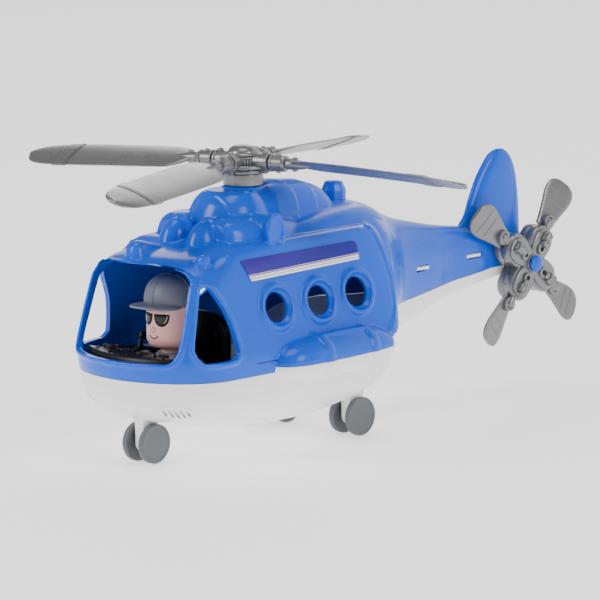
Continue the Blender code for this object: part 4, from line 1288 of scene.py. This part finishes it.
def collar():
    sleeve = turned("collar", eased([
        (COLLAR_RADIUS - 0.4, COLLAR_Z[0]), (COLLAR_RADIUS, COLLAR_Z[0] + 0.4),
        (COLLAR_RADIUS, COLLAR_Z[1] - 0.4), (COLLAR_RADIUS - 0.4, COLLAR_Z[1]),
    ], 0.2), steps=72)
    carve(sleeve, [mast_hole(140, 155)])
    place(sleeve, "collar_sleeve", "main_rotor", SILVER, "main_rotor_collar", 35)


def main_rotor():
    rotor_hub()
    hub_dome()
    collar()
    for i in range(4):
        main_blade(i)
    paint(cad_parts["mast_pin"], SILVER)


# ---- tail rotor -----------------------------------------------------------------------------------------


def about_tail(obj, angle):
    centre = Matrix.Translation(TAIL_CENTRE)
    obj.data.transform(centre @ Matrix.Rotation(angle, 4, "X") @ centre.inverted())
    return obj


def petal():
    """One thick lobe of the tail hub along +Y, with a raised panel on its face and a waist round its side."""
    _, y, z = TAIL_CENTRE
    back, front = TAIL_BACK, TAIL_FRONT
    outline = [(0.5, -3.6), (4.0, -7.0), (12.0, -9.0), (19.0, -8.2), (23.0, -4.6), (23.8, 0.0)]
    outline = closed_curve(outline + [(a, -b) for a, b in reversed(outline[:-1])], 4)
    middle = 12.5
    steps = (
        (back, 0.93), (back + 0.7, 1.0), (back + 4.6, 1.0),
        (back + 5.2, 0.965), (back + 6.0, 0.965), (back + 6.6, 1.0),
        (front - 2.4, 1.0), (front - 1.7, 0.96), (front - 1.6, 0.83), (front - 0.5, 0.81), (front, 0.74),
    )
    return loft("petal", [
        [(px, y + middle + (a - middle) * grow, z + b * grow) for a, b in outline] for px, grow in steps
    ])


def tail_link():
    """The pitch link on each lobe: an eye near the hub, a bar and a drum."""
    _, y, z = TAIL_CENTRE
    top = TAIL_FRONT + 1.0
    return [
        rod("eye", (TAIL_FRONT - 2, y + 9.8, z), (TAIL_FRONT + 1.3, y + 9.8, z), 3.2),
        rod("bar", (top - 0.2, y + 11.4, z), (top - 0.2, y + 21.0, z), 2.2, end_radius=2.0),
        rod("drum", (top - 0.4, y + 14.6, z), (top - 0.4, y + 19.4, z), 3.1),
        rod("drum_rim", (top - 0.4, y + 18.4, z), (top - 0.4, y + 19.8, z), 3.4),
    ]


def tail_blade(index):
    x, y, z = TAIL_CENTRE
    plan = (
        (24.2, 5.4), (30, 6.4), (38, 8.4), (43, 9.8), (47.5, 10.1), (50.6, 9.3), (52.8, 7.5),
        (TAIL_RADIUS - 1.5, 4.2),
    )

    def at(r, c, t):
        across = c * sin(TAIL_TWIST) + t * cos(TAIL_TWIST)
        upward = c * cos(TAIL_TWIST) - t * sin(TAIL_TWIST)
        return (x + across, y + r, z + upward)

    blade = loft("blade", [
        [at(r, c, t) for c, t in oval(half_width, 1.15, 4.0, 40)]
        for r, half_width in curve_through(plan, 5)
    ])
    lines = [
        limb("line", [at(r, -12, 1.3), at(r + 1.2, 12, 1.3)], (0.5, 0.5), 12, 12) for r in (39.6, 45.6)
    ]
    carve(blade, lines)
    lug_y = y + TAIL_LUG_REACH
    lug = rod("lug", (x, lug_y, z), (x + 3.9, lug_y, z), 4.2)
    link = limb("link", [(x + 2.8, y + 23.6, z), (x + 2.6, lug_y, z)], (2.4, 2.8), 20, 3)
    bolt = ball("bolt", (x + 3.9, lug_y, z), (1.6, 2.1, 2.1), 28, 14)
    well = turned("well", [(2.6, -0.7), (2.9, 1.5)], (x + 3.9, lug_y, z), (1, 0, 0))
    carve(lug, [well])
    combine(blade, [lug, link, bolt])
    about_tail(blade, TAIL_PHASE + index * pi / 2)
    name = "tail_rotor_blade_%d" % (index + 1)
    place(blade, "tail_blade_skin_%d" % (index + 1), "tail_rotor", SILVER, name, 40)


def tail_hub():
    x, y, z = TAIL_CENTRE
    back, front = TAIL_BACK, TAIL_FRONT
    hub = rod("hub", (back, y, z), (front - 1.2, y, z), 7.6)
    for i in range(4):
        angle = TAIL_PHASE + i * pi / 2
        combine(hub, [about_tail(piece, angle) for piece in [petal()] + tail_link()])
        eye = rod("eye_hole", (front - 1.5, y + 9.8, z), (front + 3, y + 9.8, z), 1.5)
        carve(hub, [about_tail(eye, angle)])
    combine(hub, [rod("boss", (x, y, z), (front + 0.8, y, z), 5.6)])
    carve(hub, [rod("bore", (back - 5, y, z), (front + 5, y, z), TAIL_PIN_RADIUS + GAP)])
    place(hub, "tail_hub_casting", "tail_rotor", SILVER, "tail_rotor_hub", 35)


def push_pin():
    """The shaft that holds the tail rotor, with a domed head."""
    _, y, z = TAIL_CENTRE
    pin = rod("pin", (-1.6, y, z), (TAIL_FRONT + 1.6, y, z), TAIL_PIN_RADIUS)
    top = TAIL_FRONT + 0.8 + GAP
    profile = [(4.4, top), (4.9, top + 0.5)]
    profile += [(4.9 * cos(t), top + 1.0 + 2.0 * sin(t)) for t in spaced(0, pi / 2 * 0.96, 8)]
    combine(pin, [turned("head", profile, (0, y, z), (1, 0, 0))])
    place(pin, "push_pin", "tail_rotor", BLUE, "tail_rotor_pin", 35)


def tail_rotor():
    tail_hub()
    for i in range(4):
        tail_blade(i)
    push_pin()


# ---- wheels ---------------------------------------------------------------------------------------------


def wheels():
    inner = WHEEL_FACE - WHEEL_WIDTH
    for leg_name, (x, y) in LEGS.items():
        body = leg_name + "_wheels"
        axle = rod("axle", (x - AXLE_HALF, y, WHEEL_RADIUS), (x + AXLE_HALF, y, WHEEL_RADIUS), AXLE_RADIUS)
        place(axle, leg_name + "_axle_wire", body, STEEL, leg_name + "_axle", 35)
        for side, which in HANDS:
            profile = eased([
                (2.6, inner - 0.35), (3.6, inner - 0.35), (3.8, inner + 0.5), (8.2, inner + 0.5),
                (8.8, inner), (WHEEL_RADIUS, inner), (WHEEL_RADIUS, WHEEL_FACE), (9.4, WHEEL_FACE),
                (8.6, WHEEL_FACE - 0.25), (0.8, WHEEL_FACE - 0.1),
            ], 0.8)
            tyre = turned("tyre", profile, (x, y, WHEEL_RADIUS), (side, 0, 0), 64)
            reach = AXLE_HALF + GAP
            bore = rod("bore", (x + side * (inner - 1), y, WHEEL_RADIUS), (x + side * reach, y, WHEEL_RADIUS),
                       AXLE_RADIUS + GAP)
            carve(tyre, [bore])
            place(tyre, "%s_tyre_%s" % (leg_name, which), body, WHEEL_GREY,
                  "%s_wheel_%s" % (leg_name, which), 40)


# ---- studio ---------------------------------------------------------------------------------------------


def camera():
    """The viewing angle, distance and framing of the reference view, as a long lens from the port bow."""
    azimuth, elevation, roll = radians(43.984), radians(9.696), radians(-0.269)
    distance = 2.73569
    target = Vector((0.0, MAST_Y + 0.04433, 0.07368))
    back = Vector((sin(azimuth) * cos(elevation), -cos(azimuth) * cos(elevation), sin(elevation)))
    right = Vector((cos(azimuth), sin(azimuth), 0))
    up = back.cross(right)
    lens = bpy.data.cameras.new("camera")
    lens.sensor_width = 36
    lens.lens = 295.26
    lens.clip_end = 20
    obj = new_object("camera", lens)
    across = right * cos(roll) + up * sin(roll)
    upward = up * cos(roll) - right * sin(roll)
    turn = Matrix((across, upward, back)).transposed().to_4x4()
    obj.matrix_world = Matrix.Translation(target + back * distance) @ turn
    bpy.context.scene.camera = obj


# (name, place, size, power)
LIGHTS = (
    ("left", (-0.9, -2.1, 1.3), (1.0, 1.3), 40),
    ("right", (2.2, 0.1, 1.1), (0.8, 1.4), 26),
    ("top", (0.1, -0.2, 2.3), (1.2, 1.2), 18),
    ("back", (-1.5, 1.6, 1.3), (1.0, 1.0), 8),
)
LIGHTS_AIM = (0, 0, 0.08)
WORLD_STRENGTH = 0.3
FLOOR_GLOW = 0.8


def area_light(name, place_at, size, power):
    light = bpy.data.lights.new(name, "AREA")
    light.shape = "RECTANGLE"
    light.size, light.size_y = size
    light.energy = power
    obj = new_object(name, light)
    obj.location = place_at
    obj.rotation_euler = (Vector(LIGHTS_AIM) - Vector(place_at)).to_track_quat("-Z", "Y").to_euler()


def studio():
    """A pale floor that bends up behind the toy, a dim white world and four soft lights."""
    reach, bend, height = 6.0, 1.2, 6.0
    profile = [(-reach, 0.0), (reach - bend, 0.0)]
    profile += [(reach - bend + bend * sin(t), bend - bend * cos(t)) for t in spaced(0.1, pi / 2, 10)]
    profile += [(reach, height)]
    points = [(x, y, z - 0.0004) for y, z in profile for x in (-8.0, 8.0)]
    faces = [[2 * i, 2 * i + 1, 2 * i + 3, 2 * i + 2] for i in range(len(profile) - 1)]
    mesh = bpy.data.meshes.new("floor")
    mesh.from_pydata(points, [], faces)
    floor = new_object("floor", mesh)
    paint(floor, floor_material())
    floor.data.shade_smooth()
    world = bpy.data.worlds.new("studio")
    world.use_nodes = True
    background = world.node_tree.nodes["Background"]
    background.inputs["Color"].default_value = (1.0, 1.0, 1.0, 1)
    background.inputs["Strength"].default_value = WORLD_STRENGTH
    bpy.context.scene.world = world
    for light in LIGHTS:
        area_light(*light)


def floor_material():
    n = Nodes("floor_paper")
    return n.surface(
        Base_Color=n.mixed(n.ranged(n.noise(5, 3.0), 0, 1), (0.90, 0.90, 0.90), (0.93, 0.93, 0.93)),
        Roughness=n.ranged(n.noise(9, 3.0), 0.75, 0.85),
        Emission_Color=(1, 1, 1, 1),
        Emission_Strength=FLOOR_GLOW,
    )


camera()
studio()
fuselage()
sticker(1, "port_sticker")
sticker(-1, "starboard_sticker")
cockpit_tray()
dials()
switches()
levers()
seat()
head()
cap()
torso()
arms()
legs()
main_rotor()
tail_rotor()
wheels()
